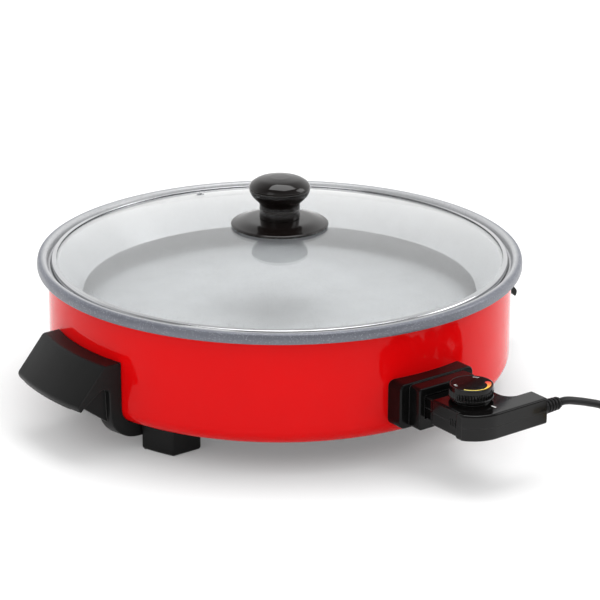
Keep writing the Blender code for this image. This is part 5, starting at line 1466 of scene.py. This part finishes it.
@dataclass
class Handles:
    """The two moulded handles, each in one with its end webs, legs and feet.

    Attributes:
        wall: The handle's inner face, from the pan's axis.
        reach: How far it stands out.
        top_z: Its upper face.
        depth: Its depth down to the grip's lower edge.
        half: Half its width.
        leg: A leg's width.
        outer_bend: The height of the middle of a leg's outer bend, and its radius.
        inner_bend: The same of its inner bend.
        sole_z: The height of a leg's lower end.
        foot_top: The height of a foot's top.
        foot_span: Where a foot starts and ends along the handle.
        slices: How far apart the cuts are at which a flat section bends.
    """

    wall: float = 180.3 * MM
    reach: float = 36.2 * MM
    top_z: float = 71.5 * MM
    depth: float = 31.7 * MM
    half: float = 43.5 * MM
    leg: float = 12.5 * MM
    outer_bend: Point2 = (33.5 * MM, 23.3 * MM)
    inner_bend: Point2 = (35.0 * MM, 13.4 * MM)
    sole_z: float = 10.2 * MM
    foot_top: float = 21.6 * MM
    foot_span: Point2 = (44.5 * MM, 71.5 * MM)
    slices: float = 3.1 * MM

    def at(self, *shares: Point2) -> list[Point2]:
        """Section points: shares of the reach out and of the depth down."""
        return shared(shares, self.reach, -self.depth, (self.wall, self.top_z))

    def bend(self, inset: float, start: float, steps: int = 10) -> list[Point2]:
        """A leg's outer face from an angle below level down to its sole."""
        height, radius = self.outer_bend
        return arc((DATUM.rounding_x, height), radius - inset, start, -90, steps)

    def bent(self, shape: Shape, name: str) -> Shape:
        """Stand a flat section upright and bend it round the casing."""
        sliced(shape, (0, 0, 1), [i * self.slices for i in range(-14, 15)])
        shape.name = name
        return moved(shape, lambda p: (math.sqrt(max(p.x**2 - p.z**2, 0)), p.z, p.y))

    def grip(self) -> Shape:
        """The hollow grip between the legs, still flat."""
        outline = self.at(
            (0, 0), (0.375, 0), (1, 0.842), (0.945, 1), (0.893, 0.95), (0.335, 0.145),
            (0.125, 0.145), (0.125, 0.85), (0, 0.85),
        )
        radii = [v * MM for v in (0.6, 2.0, 3.2, 2.2, 1.2, 2.5, 1.5, 0.8, 0.6)]
        inner = self.half - self.leg + 1.2 * MM
        return plate("grip", [softened(outline, radii, 5)], -inner, inner)

    def leg_line(self) -> list[Point2]:
        """A leg's section, from level on its outer face round to the casing's side."""
        height, radius = self.inner_bend
        sole = rectangle(150 * MM, self.sole_z, 146 * MM, self.foot_top)
        fillet = arc((DATUM.rounding_x, height), radius, -90, 0)
        return [*self.bend(0.3 * MM, 0, 16), *softened(sole, 1 * MM)[4:-4], *fillet]

    def frame_outline(self) -> list[Point2]:
        """The section of a leg with the handle's end above it, open below the grip's lip."""
        upper = self.at(
            (0, 0), (0.375, 0), (1, 0.842), (0.945, 1), (0.857, 0.89), (0.44, 0.54), (0.28, 0.62)
        )
        radii = [v * MM for v in (0, 2.0, 3.2, 2.2, 1.0, 2.5, 2.5, 0)]
        rounded = softened([*upper, self.bend(0.3 * MM, 0)[0]], radii, 5)
        return [*rounded[:-1], *self.leg_line()]

    def web_outline(self) -> list[Point2]:
        """The thin web that fills the frame's opening, with its slanting free edge."""
        corners = self.at((0.2, 0.55), (0.44, 0.46), (0.9, 0.85), (0.85, 0.89), (0.755, 0.97))
        lower = [self.bend(inset * MM, angle)[0] for inset, angle in ((0.2, -20), (3, -20), (3, 0))]
        return [*corners, *lower]

    def end(self, side: int) -> Shape:
        """The frame at one end of a handle, still flat."""
        low, high = sorted((side * (self.half - self.leg), side * self.half))
        return plate(f"end_{side}", [self.frame_outline()], low, high, 0.7 * MM)

    def web(self, side: int) -> Shape:
        """The thin web within one end's frame."""
        low, high = sorted((side * (self.half - 8.5 * MM), side * (self.half - 4.5 * MM)))
        web = plate("web", [self.web_outline()], low, high, 0.3 * MM)
        return self.bent(web, f"handle_web_{side}")

    def foot(self, side: int) -> Shape:
        """One foot with the neck to its leg and its screw recess."""
        (start, end), inner, outer = self.foot_span, 124 * MM, 165.5 * MM
        stations = [start + (end - start) * i / 8 for i in range(9)]
        outline = [(math.sqrt(outer**2 - y**2), side * y) for y in stations]
        outline += [(inner, side * end), (inner, side * start)]
        radii = [3 * MM if i in (0, 8, 9, 10) else 0.0 for i in range(11)]
        plan = softened(outline, radii, 5)
        block = plate(f"foot_{side}", [plan], 0.0, self.foot_top, 2.5 * MM, 4)
        low_y, high_y = sorted((side * 31 * MM, side * 50.5 * MM))
        corner = (outline[0][0] - 6 * MM, high_y, self.foot_top - GAP)
        neck = boxed(f"neck_{side}", (140 * MM, low_y, self.sole_z + GAP), corner, 1 * MM)
        recess = peg("recess", 5 * MM, -2 * MM, 4.8 * MM, 32)
        worked(block, Cut.ONTO, neck)
        place = (DATUM.foot_screw_x, side * DATUM.foot_screw_y, 0)
        return worked(block, Cut.AWAY, set_at(recess, place))

    def build(self) -> None:
        """Make the right handle, and turn a copy round for the left one."""
        whole = worked(self.grip(), Cut.ONTO, self.end(-1), self.end(1))
        parts = [self.bent(whole, "handle_grip")]
        for side in (-1, 1):
            parts += [self.web(side), self.foot(side)]
        right = joined("handle_moulding_right", *parts)
        left = linked("handle_moulding_left", right.data.copy())
        set_at(left, DATUM.pan, Matrix.Rotation(math.pi, 3, "Z"))
        on_axis(right, Body.PAN, MATTE, "handle_right")
        fitted(left, Body.PAN, MATTE, "handle_left")


# Inlet


@dataclass
class Inlet:
    """The moulded shroud round the probe's socket, with its two pins.

    Attributes:
        tier: Half the first tier's width, half its height and its front, from the pan's axis.
        collar: The same of the collar before it.
        socket: The same of the socket's mouth.
        drop: How far their middle lies below the probe's axis.
        seat: The radius of the casing that the shroud stands on.
        pin: A pin's radius.
    """

    tier: tuple[float, float, float] = (34 * MM, 17.2 * MM, 191.4 * MM)
    collar: tuple[float, float, float] = (26 * MM, 16 * MM, 203 * MM)
    socket: tuple[float, float, float] = (21.2 * MM, 9 * MM, 206 * MM)
    drop: float = 1.3 * MM
    seat: float = 180.3 * MM
    pin: float = 2.5 * MM

    def step(self, name: str, half: float, tall: float, front: float, corner: float) -> Shape:
        """One tier of the shroud, from its front back into the casing's curve."""
        outline = softened(rectangle(-half, -tall, half, tall), corner, 6)
        shape = plate(name, [outline], DATUM.rounding_x, front, 1.3 * MM, 4)
        return moved(shape, lambda p: (p.x, DATUM.pan_y - p.z, DATUM.probe_z - self.drop + p.y))

    def build(self) -> None:
        """Make the shroud and its pins."""
        shroud = self.step("shroud_moulding", *self.tier, 5.5 * MM)
        worked(shroud, Cut.ONTO, self.step("collar", *self.collar, 3.0 * MM))
        half, tall, front = self.socket
        low = (-half, DATUM.pan_y - front, DATUM.probe_z - tall)
        socket = boxed("socket", low, (half, DATUM.socket_y, DATUM.probe_z + tall))
        core = peg("core", self.seat, 10 * MM, 90 * MM, 224)
        worked(shroud, Cut.AWAY, socket, set_at(core, DATUM.pan))
        for x, radius in ((0.0, 3.4 * MM), (-DATUM.pin_x, 2.8 * MM), (DATUM.pin_x, 2.8 * MM)):
            bored(shroud, radius, 18 * MM, (x, DATUM.socket_y, DATUM.probe_z), QUARTER_X, 24)
        fitted(shroud, Body.PAN, SATIN, "inlet_shroud")
        for word in SIDES:
            low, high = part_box(f"terminal_pin_{word}")
            tip = high.y - low.y
            dome = flowing([(0.0, tip), (1.2 * MM, tip - 0.25 * MM), (self.pin, tip - 1.6 * MM)])
            pin = turned(f"inlet_pin_{word}", [*dome, (self.pin, 0.0), (0.0, 0.0)], 32)
            set_at(pin, ((low.x + high.x) / 2, high.y, DATUM.probe_z), QUARTER_X)
            fitted(pin, Body.PAN, BRIGHT, f"terminal_pin_{word}")


# Lid


def dome_height(radius: float) -> float:
    """How high the glass's outer face lies over the table."""
    return DATUM.crown_z - DOME_SPHERE + math.sqrt(DOME_SPHERE**2 - radius**2)


@dataclass
class Lid:
    """The domed glass, its steel band, its steam vent and the knob's fixings.

    Attributes:
        radius: The band's outer radius.
        glass_edge: The glass's radius.
        thickness: The glass's thickness.
        bore: The radius of the knob's hole in the glass.
        sheet: The band's thickness.
        vent_radius: The vent's distance from the axis.
        vent_angle: The vent's angle from the control's side.
        bolt: The radius of the knob screw's shank.
        bolt_head: The radius of its head.
    """

    radius: float = 177.1 * MM
    glass_edge: float = 175.2 * MM
    thickness: float = 3.3 * MM
    bore: float = 3.1 * MM
    sheet: float = 0.7 * MM
    vent_radius: float = 145.3 * MM
    vent_angle: float = math.radians(170.7)
    bolt: float = 2.5 * MM
    bolt_head: float = 5.5 * MM

    def glass(self) -> Shape:
        """The dome with its ground edge, knob hole and vent hole."""
        edge, soft = self.glass_edge, 1.2 * MM
        radii = [self.bore + (edge - soft - self.bore) * i / 28 for i in range(29)]
        outer = [(r, dome_height(r)) for r in radii]
        top, low = dome_height(edge), dome_height(edge) - self.thickness
        rim = flowing([outer[-1], *near((edge, (top + low) / 2), (0, 0.8), (0, -0.8))])
        inner = [(r, dome_height(r) - self.thickness) for r in reversed(radii)]
        shape = turned("lid_dome", [*outer, *rim[1:], *inner], 192, ring=True)
        centre, turn = self.vent()
        bored(shape, 2.7 * MM, 16 * MM, centre, turn, 24)
        return on_axis(shape, Body.LID, GLASS, "lid_glass")

    def vent(self) -> tuple[Vector, Matrix]:
        """The vent's place on the glass from the pan's axis, and the turn onto the glass there."""
        place = polar(self.vent_radius, self.vent_angle, dome_height(self.vent_radius))
        normal = (place - Vector((0, 0, DATUM.crown_z - DOME_SPHERE))).normalized()
        return place, facing(normal)

    def eyelet(self) -> Shape:
        """The bright eyelet that the steam leaves by."""
        seat, under = 0.6 * MM, -3.9 * MM
        upper = ((1.5, -0.1), (1.7, 0.45), (2.3, 0.6), (3.2, 0.51), (3.6, 0.3), (3.5, 0), (2.4, 0))
        lower = ((2.4, 0), (3.5, 0), (3.6, -0.3), (3.2, -0.6), (1.5, -0.6))
        profile = [*near((0.0, seat), *upper), *near((0.0, under), *lower)]
        centre, turn = self.vent()
        shape = set_at(turned("vent_eyelet", profile, 40, ring=True), centre + DATUM.pan, turn)
        return fitted(shape, Body.LID, BRIGHT, "steam_vent_eyelet")

    def band(self) -> Shape:
        """The steel channel rolled round the glass's edge."""
        outer, lip, inner = self.radius, self.radius - 4.2 * MM, self.radius - 1.6 * MM
        base, under = DATUM.ledge_z + GAP, dome_height(lip) + GAP
        corner = dome_height(inner - GAP) + GAP
        sheet, soft = self.sheet, self.sheet / 2
        outline = [
            (lip + 0.5 * MM, under + sheet), (outer - sheet, corner + sheet),
            (outer, corner - sheet), (outer, base + soft), (outer - soft, base), (lip, base),
            (lip, base + sheet), (inner, base + sheet), (inner, corner), (lip, under),
        ]
        radii = [v * MM for v in (0.4, 0.9, 0.9, 0.3, 0.3, 0.2, 0.2, 0.3, 0.3, 0.3)]
        shape = turned("lid_band", softened(outline, radii, 4), 256, ring=True)
        return on_axis(shape, Body.LID, BRIGHT, "lid_rim_band")

    def fixings(self) -> None:
        """The gaskets, washer and screw that hold the knob."""
        crown, under = DATUM.crown_z, DATUM.crown_z - self.thickness - GAP
        rings = (
            ("upper_gasket", 12.0 * MM, crown + 1.5 * MM, 1.2 * MM, SILICONE),
            ("lower_gasket", 9.0 * MM, under, 1.2 * MM, SILICONE),
            ("knob_washer", 9.0 * MM, under - 1.5 * MM, 1.0 * MM, STEEL),
        )
        for name, radius, top, thick, finish in rings:
            low = top - thick
            section = [(radius, top), (radius, low), (KNOB_BORE, low), (KNOB_BORE, top)]
            ring = turned(f"{name}_ring", softened(section, 0.25 * MM), 48, ring=True)
            on_axis(ring, Body.LID, finish, name)
        head, end = under - 2.5 * MM - GAP, crown + 19 * MM
        dome = near((0.0, head), (0, -2.6), (3.0, -2.4), (5.5, -1.2))
        shank = [(self.bolt_head, head), (self.bolt, head), (self.bolt, end), (0.0, end)]
        screw = turned("knob_bolt", [*flowing(dome), *shank], 40)
        long, half = 6 * MM, 0.5 * MM
        slot = boxed("slot", (-long, -half, head - 4 * MM), (long, half, head - 1.5 * MM))
        on_axis(worked(screw, Cut.AWAY, slot), Body.LID, STEEL, "knob_screw")

    def build(self) -> None:
        """Make the lid's pieces below the knob."""
        self.glass()
        self.eyelet()
        self.band()
        self.fixings()


@dataclass
class Knob:
    """The knob's guard, body and cap.

    Attributes:
        radius: The knob's radius.
        neck: The neck's radius.
        height: The knob's height over the crown.
        seam: The seam's height as a share of the knob's.
        guard_radius: The heat guard's radius.
        guard_rise: The guard's height at the neck.
        cap_shares: The cap's outline as shares of radius and height.
        body_shares: The body's outline below the cap.
        screw_depth: How high the body's bore for the screw goes over the crown.
    """

    radius: float = 23.8 * MM
    neck: float = 15.7 * MM
    height: float = 38.0 * MM
    seam: float = 0.765
    guard_radius: float = 38.0 * MM
    guard_rise: float = 5.3 * MM
    cap_shares: tuple[Point2, ...] = (
        (0.0, 1.0), (0.2, 0.997), (0.38, 0.99), (0.68, 0.955), (0.89, 0.885), (0.975, 0.825),
        (1.0, 0.788),
    )
    body_shares: tuple[Point2, ...] = (
        (0.99, 0.752), (0.975, 0.69), (0.91, 0.61), (0.80, 0.535), (0.70, 0.475), (0.667, 0.432),
    )
    screw_depth: float = 19.3 * MM

    def outline(self, shares: Iterable[Point2], pieces: int) -> list[Point2]:
        """A smooth outline from shares of the knob's radius and height."""
        return flowing(shared(shares, self.radius, self.height, (0.0, DATUM.crown_z)), pieces)

    def guard(self) -> Shape:
        """The wide glossy dish that keeps fingers off the glass."""
        crown, edge, neck = DATUM.crown_z, self.guard_radius, self.neck
        low = dome_height(edge) + GAP
        top, under, rest = crown + self.guard_rise, crown + 1.8 * MM, 0.4 * MM
        upper = [
            *near((neck, top), (0.2, 0), (3.5, -0.25)),
            *near(((edge + neck) / 2, (top + low) / 2), (0, 2.05)),
            *near((edge, low), (-3.2, 2.75), (-1.1, 2.15), (-0.15, 1.3), (-0.5, 0.2), (-2.2, 0.25)),
        ]
        bore = [(KNOB_BORE, under), (KNOB_BORE, top - rest), (neck - GAP, top - rest)]
        profile = [*flowing(upper), (14.2 * MM, under), *bore]
        shape = turned("knob_guard", profile, 128, ring=True)
        return on_axis(shape, Body.LID, KNOB_BLACK, "knob_heat_guard")

    def body(self) -> Shape:
        """The neck and the lower half of the knob."""
        crown, neck = DATUM.crown_z, self.neck
        flank = self.outline(self.body_shares, 4)
        waist, low, end = flank[-1][1], crown + self.guard_rise + GAP, crown + self.screw_depth
        band = waist - (waist - low) * 0.36
        seam = crown + self.seam * self.height
        profile = [
            (0.0, seam), (self.radius * 0.972, seam), (self.radius * 0.986, seam - 0.15 * MM),
            *flank,
            *near((neck, waist), (0.05, -0.5), (0, -1.2)),
            *near((neck, band), (0, 0.35), (-0.45, 0.1), (-0.45, -0.2), (-0.1, -0.5)),
            *near((neck, low), (0, 0.5), (-0.3, 0)),
            (KNOB_BORE, low), (KNOB_BORE, end), (0.0, end),
        ]
        return on_axis(turned("knob_lower", profile), Body.LID, KNOB_BLACK, "knob_body")

    def cap(self) -> Shape:
        """The rounded top of the knob."""
        low = DATUM.crown_z + self.seam * self.height + GAP
        edge = [(self.radius * 0.992, low + 0.2 * MM), (self.radius * 0.975, low), (0.0, low)]
        shape = turned("knob_top", [*self.outline(self.cap_shares, 6), *edge])
        return on_axis(shape, Body.LID, KNOB_BLACK, "knob_cap")

    def build(self) -> None:
        """Make the knob."""
        self.guard()
        self.body()
        self.cap()


# Control


@dataclass
class Control:
    """The plug-in control's two shells, its marks and its strain relief.

    Attributes:
        nose: Half the nose's width.
        half_z: Half the housing's height.
        wall: The shells' thickness.
        front: The front face, from the socket's floor.
        shoulder: Where the tongue meets the housing.
        cheek: Where the front cap steps out.
        cheek_step: How far it steps out.
        arm_depth: The arm's depth.
        arm_reach: The arm's end.
        corner: The radius of the front's left corner.
        corner_pass: How far its circle passes the cheek.
        elbow: The radius inside the arm's bend.
        tongue: Half the tongue's width and half its height.
        tongue_ends: Where the tongue starts and ends, from the socket's floor.
        relief_drop: How far the cord's exit lies below the probe's axis.
        relief_length: How far the strain relief stands out of the arm.
        relief_ribs: How many ribs it has.
        dial_y: The dial's axis, from the socket's floor.
        screws: The places of the housing's screws.
        rod: The probe's radius.
        flange: The radius of the probe's flange.
    """

    nose: float = 23.0 * MM
    half_z: float = 9.8 * MM
    wall: float = 2.2 * MM
    front: float = 74.8 * MM
    shoulder: float = 27.5 * MM
    cheek: float = 56.5 * MM
    cheek_step: float = 2.0 * MM
    arm_depth: float = 17.8 * MM
    arm_reach: float = 45.5 * MM
    corner: float = 28.0 * MM
    corner_pass: float = 5.0 * MM
    elbow: float = 9.0 * MM
    tongue: Point2 = (20.5 * MM, 8.3 * MM)
    tongue_ends: Point2 = (-29.5 * MM, -1.5 * MM)
    relief_drop: float = 1.2 * MM
    relief_length: float = 18 * MM
    relief_ribs: int = 6
    dial_y: float = -43.7 * MM
    screws: tuple[Point2, ...] = ((-18.63 * MM, -64.48 * MM), (28.98 * MM, -65.82 * MM))
    rod: float = 3.0 * MM
    flange: float = 4.6 * MM

    @property
    def exit_y(self) -> float:
        """The cord's exit, from the socket's floor."""
        return -(self.front - self.arm_depth / 2)

    def outline(self, inset: float = 0.0, soft: float = 0.0) -> list[Point2]:
        """The housing in plan, moved in by an inset, its plain corners softened."""
        side, cheek = self.nose - inset, self.nose + self.cheek_step - inset
        front, back = -(self.front - inset), -(self.front - self.arm_depth) - inset
        end, radius, bend = self.arm_reach - inset, self.corner - inset, self.elbow + inset
        centre = (radius - self.corner_pass - cheek, front + radius)
        edge = 180 + math.degrees(math.acos(1 - self.corner_pass / radius))
        shoulder, step = -self.shoulder - inset, -self.cheek - inset
        turn = arc(centre, radius, edge, 270, 14)
        inner = arc((side + bend, back + bend), bend, 270, 180, 10)
        line = [(-side, shoulder), (-side, step), (-cheek, step), *turn]
        line += [(end, front), (end, back), *inner, (side, shoulder)]
        radii = [soft, 0.0, soft * 0.6, *[0.0] * len(turn), soft, soft, *[0.0] * len(inner), soft]
        return softened(line, radii, 4) if soft else line

    def shell(self, up: bool) -> Shape:
        """One half of the housing with its half of the tongue."""
        word = "upper" if up else "lower"
        plan = [self.outline(0, 1.8 * MM)]
        shape = plate(f"housing_shell_{word}", plan, -self.half_z, self.half_z, 1.6 * MM, 5)
        (half_x, half_z), wall, far = self.tongue, self.wall, 130 * MM
        square = softened(rectangle(-half_x, -half_z, half_x, half_z), 1.5 * MM)
        tongue = plate("tongue", [square], *self.tongue_ends, 0.5 * MM)
        moved(tongue, lambda p: (p.x, p.z, p.y))
        low, high = (-far, GAP / 2) if up else (-GAP / 2, far)
        other_half = boxed("other_half", (-far, -far, low), (far, far, high))
        hollow = plate("hollow", [self.outline(wall)], wall - self.half_z, self.half_z - wall)
        near_corner = (wall - half_x, -self.shoulder - 2 * wall, wall - half_z)
        channel = boxed("channel", near_corner, (half_x - wall, -3.7 * MM, half_z - wall))
        worked(shape, Cut.ONTO, tongue)
        worked(shape, Cut.AWAY, other_half, hollow, channel)
        self.pierce(shape)
        (self.seat_dial if up else self.seat_screws)(shape)
        set_at(shape, DATUM.control)
        return fitted(shape, Body.CONTROL, GLOSS, f"control_housing_{word}")

    def pierce(self, shape: Shape) -> None:
        """Cut a shell's slits and its holes for the probe, the pins and the cord."""
        back, depth, tall = -self.nose - 2 * MM, -self.nose + 3.5 * MM, 3 * MM
        for i in range(4):
            low = -self.cheek + 1.9 * MM * (i + 1)
            slit = boxed("slit", (back, low, -tall), (depth, low + 0.9 * MM, tall))
            worked(shape, Cut.AWAY, slit)
        for x, radius in ((0.0, 3.3 * MM), (-DATUM.pin_x, 2.9 * MM), (DATUM.pin_x, 2.9 * MM)):
            bored(shape, radius, 8 * MM, (x, -1 * MM, 0.0), QUARTER_X)
        bored(shape, 3.9 * MM, 10 * MM, (self.arm_reach, self.exit_y, -self.relief_drop), QUARTER_Y)

    def seat_dial(self, shape: Shape) -> None:
        """Add the low ring under the dial, and the hole for its shaft."""
        ring = near((0.0, 0.0), (0, 8.7), (13.6, 8.7), (13.6, 11.1), (13.3, 11.5), (0, 11.5))
        worked(shape, Cut.ONTO, set_at(turned("dial_seat", ring, 64), (0, self.dial_y, 0)))
        bored(shape, 3.35 * MM, 30 * MM, (0, self.dial_y, 10 * MM))

    def seat_screws(self, shape: Shape) -> None:
        """Add the posts for the housing's screws, with their bores and their heads' recesses."""
        head = 2.6 * MM
        for x, y in self.screws:
            worked(shape, Cut.ONTO, set_at(peg("post", head, -8.7 * MM, -GAP / 2), (x, y, 0)))
            bored(shape, 1.5 * MM, 30 * MM, (x, y, -5 * MM))
            bored(shape, head, 3 * MM, (x, y, -self.half_z))

    def pointer(self) -> Shape:
        """The printed white mark that the dial is read against."""
        outline = softened([(-0.7, -2.3), (0.7, -2.3), (0.45, 1.9), (-0.45, 1.9)], 0.2)
        tick = moved(plate("pointer_tick", [outline], 0, 0.05), lambda p: p * MM)
        place = (3.6 * MM, DATUM.dial_y - 19.6 * MM, DATUM.dial_low_z)
        set_at(tick, place, Matrix.Rotation(math.radians(8), 3, "Z"))
        return fitted(tick, Body.CONTROL, INK_WHITE)

    def relief(self) -> Shape:
        """The ribbed, tapering sleeve where the cord leaves the arm."""
        root = self.arm_reach + GAP
        tip, last = root + self.relief_length, self.relief_ribs - 1
        profile = near((0.0, self.arm_reach), (0, -5.1), (5.2, -5.1), (5.2, -2.5), (3.6, -2.5))
        profile.append((3.6 * MM, root))
        crest = ((0.0, 0.25), (0.35, 0.0), (1.45, 0.0), (1.85, 0.3), (2.15, 0.9), (2.8, 0.95))
        for i in range(self.relief_ribs):
            radius = 5.5 * MM - 0.7 * MM * i / last
            start = root + 3 * MM * i
            steps = crest if i < last else crest[:-1]
            profile += [(radius - drop * MM, start + along * MM) for along, drop in steps]
        profile += near((0.0, tip), (4.2, -0.2), (3.9, 0), (0, 0))
        shape = turned("relief_sleeve", profile, 48)
        set_at(shape, DATUM.control + Vector((0, self.exit_y, -self.relief_drop)), QUARTER_Y)
        return fitted(shape, Body.CONTROL, JACKET, "strain_relief")

    def probe(self) -> Shape:
        """The sensor rod that slides into the pan's sleeve."""
        low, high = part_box("probe_rod")
        rod, length = self.rod, high.y - low.y
        tip = flowing([(0.0, length), (rod / 2, length - 0.3 * MM), (rod, length - 2.4 * MM)])
        top = DATUM.socket_y - 4.0 * MM - low.y
        under = top - 2 * MM
        flange = [(rod, top), (self.flange, top), (self.flange, under), (rod, under)]
        shape = turned("sensor_rod", [*tip, *flange, (rod, 0.0), (0.0, 0.0)], 40)
        set_at(shape, (0, low.y, DATUM.probe_z), Matrix.Rotation(-math.pi / 2, 3, "X"))
        return fitted(shape, Body.CONTROL, BRIGHT, "probe_rod")

    def build(self) -> None:
        """Make the control's visible pieces."""
        for up in (True, False):
            self.shell(up)
        self.pointer()
        self.relief()
        self.probe()


@dataclass
class Dial:
    """The ribbed dial with its printed face.

    Attributes:
        radius: The dial's radius.
        top: Its top, from the housing.
        foot: Its lower edge.
        band: The smooth band's height above the ribs.
        lip: The plain lip's height below them.
        taper: How much the smooth band narrows.
        disc: The printed disc's radius.
        ribs: How many ribs go round.
        rib_depth: How deep the ribs are.
        heat_ends: The angles where the heat scale starts and ends, in degrees.
        heat_rim: The heat scale's outer radius.
        words: Each mark with its angle in degrees and its distance from the axis.
        word_size: The letters' size.
        ink: The print's thickness.
    """

    radius: float = 16.1 * MM
    top: float = 12.1 * MM
    foot: float = 2.3 * MM
    band: float = 3.4 * MM
    lip: float = 1.3 * MM
    taper: float = 0.6 * MM
    disc: float = 14.4 * MM
    ribs: int = 46
    rib_depth: float = 0.85 * MM
    heat_ends: Point2 = (-154, -18)
    heat_rim: float = 14.0 * MM
    words: tuple[tuple[str, float, float], ...] = (("OFF", 34, 11.7 * MM), ("150", 163, 12.0 * MM))
    word_size: float = 2.6 * MM
    ink: float = 0.04 * MM

    def radius_at(self, angle: float, share: float, depth: float) -> float:
        """The radius at an angle: a share of the dial's, with ribs of a depth."""
        return self.radius * share - depth * (0.5 - 0.5 * math.cos(self.ribs * angle)) ** 0.7

    def rings(self) -> list[tuple[float, float, float]]:
        """The outside's rings in order, each a share of the radius, a height and a rib's depth."""
        low, high, band = self.foot, self.top, self.top - self.band
        depth, lip, thin = self.rib_depth, self.foot + self.lip, 1 - self.taper / self.radius
        hollow, face = low + 4 * MM, high - 0.85 * MM
        lips = [(0.0, hollow), (0.90, hollow), (0.91, low), (0.975, low), (0.995, low + 0.3 * MM)]
        lips += [(0.995, lip - 0.3 * MM), (0.98, lip)]
        bands = [(0.985, band - 0.1 * MM), (0.995, band + 0.3 * MM)]
        bands += [(thin + 0.012, high - 0.6 * MM), (thin, high - 0.15 * MM), (thin - 0.02, high)]
        bands += [(0.915, high - 0.1 * MM), (0.912, face), (0.0, face)]
        ribs = [(0.985, lip + 0.3 * MM, depth), (0.985, band - 0.5 * MM, depth)]
        return [*[(*ring, 0.0) for ring in lips], *ribs, *[(*ring, 0.0) for ring in bands]]

    def knob(self) -> Shape:
        """The dial's outside: lip, ribs, smooth band and the edge round its face."""
        bm = bmesh.new()
        count = self.ribs * 8
        angles = [math.tau * i / count for i in range(count)]
        loops = []
        for share, height, cut in self.rings():
            if share < POLE:
                loops.append([bm.verts.new((0, 0, height))] * count)
                continue
            radii = [self.radius_at(angle, share, cut) for angle in angles]
            spots = [(r * math.cos(a), r * math.sin(a), height) for r, a in zip(radii, angles)]
            loops.append([bm.verts.new(spot) for spot in spots])
        for lower, upper in pairwise(loops):
            for i in range(count):
                k = (i + 1) % count
                add_face(bm, lower[i], lower[k], upper[k], upper[i])
        shape = set_at(shape_from("dial_cap", bm), DATUM.dial)
        return fitted(shape, Body.DIAL, GLOSS, "dial_knob")

    def face(self) -> Shape:
        """The black disc that carries the print."""
        edge = near((self.disc, self.top), (-0.15, 0), (0, -0.15), (0, -0.6))
        outline = [(0.0, self.top), *edge, (0.0, self.top - 0.6 * MM)]
        shape = set_at(turned("dial_face", outline, 96), DATUM.dial)
        return fitted(shape, Body.DIAL, INK_BLACK, "dial_disc")

    def heat_band(self) -> Shape:
        """The coloured scale: a band that widens from a thin end to a broad one."""
        (start, end), count = map(math.radians, self.heat_ends), 56
        outer, inner = [], []
        for i in range(count + 1):
            share = i / count
            angle = start + (end - start) * share
            swell = max(share - 0.45, 0) / 0.55
            blunt = math.sqrt(min(1, (1 - share) * 14 + 0.02))
            width = (0.8 + 4.2 * swell**1.3) * blunt * MM
            rim = self.heat_rim - (1 - blunt) * 2.4 * MM
            outer.append((rim * math.cos(angle), rim * math.sin(angle)))
            inner.append(((rim - width) * math.cos(angle), (rim - width) * math.sin(angle)))
        outline = [*outer, *reversed(inner)]
        shape = plate("dial_heat_band", [outline], self.top, self.top + self.ink)
        return fitted(set_at(shape, DATUM.dial), Body.DIAL, INK_HEAT)

    def marks(self) -> Shape:
        """The plain number and the off mark, which read from the rim."""
        shapes = []
        for word, angle, away in self.words:
            curve = bpy.data.curves.new("dial_word", "FONT")
            curve.body = word
            curve.size = self.word_size
            curve.align_x = curve.align_y = "CENTER"
            curve.extrude = self.ink / 2
            turn = math.radians(angle)
            place = (away * math.cos(turn), away * math.sin(turn), self.top + self.ink / 2)
            tilt = Matrix.Rotation(turn - math.pi / 2, 3, "Z")
            shapes.append(set_at(drawn_shape("dial_letters", curve), place, tilt))
        whole = set_at(joined("dial_marks", *shapes), DATUM.dial)
        return fitted(whole, Body.DIAL, INK_WHITE)

    def build(self) -> None:
        """Make the dial."""
        self.knob()
        self.face()
        self.heat_band()
        self.marks()


@dataclass
class CarriedOver:
    """The inner CAD nodes that stay as they are, in finishes of their own.

    Attributes:
        finishes: The finishes they may have, one for each of the record's slots.
    """

    finishes: tuple[Finish, ...] = (STEEL, BRIGHT, BRASS, CERAMIC, SILICONE)

    def build(self, covered: set[str]) -> None:
        """Finish every node that no piece stands for."""
        by_slot = {finish.slot.value: finish for finish in self.finishes}
        slots = {part["node"]: part["material_slot"] for part in frame["record"]["subparts"]}
        for name, node in frame["nodes"].items():
            if name in covered:
                continue
            finish = by_slot[slots[name]]
            node.data.materials.clear()
            node.data.materials.append(finish.material())
            LOG.info("%s carried over, finish %s", name, finish.name)


def covered_nodes() -> set[str]:
    """The CAD nodes that a piece stands for, which the frame has hidden."""
    return {name for name, node in frame["nodes"].items() if node.hide_render}


def main() -> None:
    """Build the studio's camera and the cord first, and then the skillet."""
    logging.basicConfig(level=logging.INFO, format="%(name)s: %(message)s")
    Effects()
    studio = Studio()
    studio.camera()
    for assembly in (Cord(), Pan(), Screws(), Handles(), Inlet(), Lid(), Knob(), Control(), Dial()):
        assembly.build()
    CarriedOver().build(covered_nodes())
    studio.build()


if __name__ == "__main__":
    main()
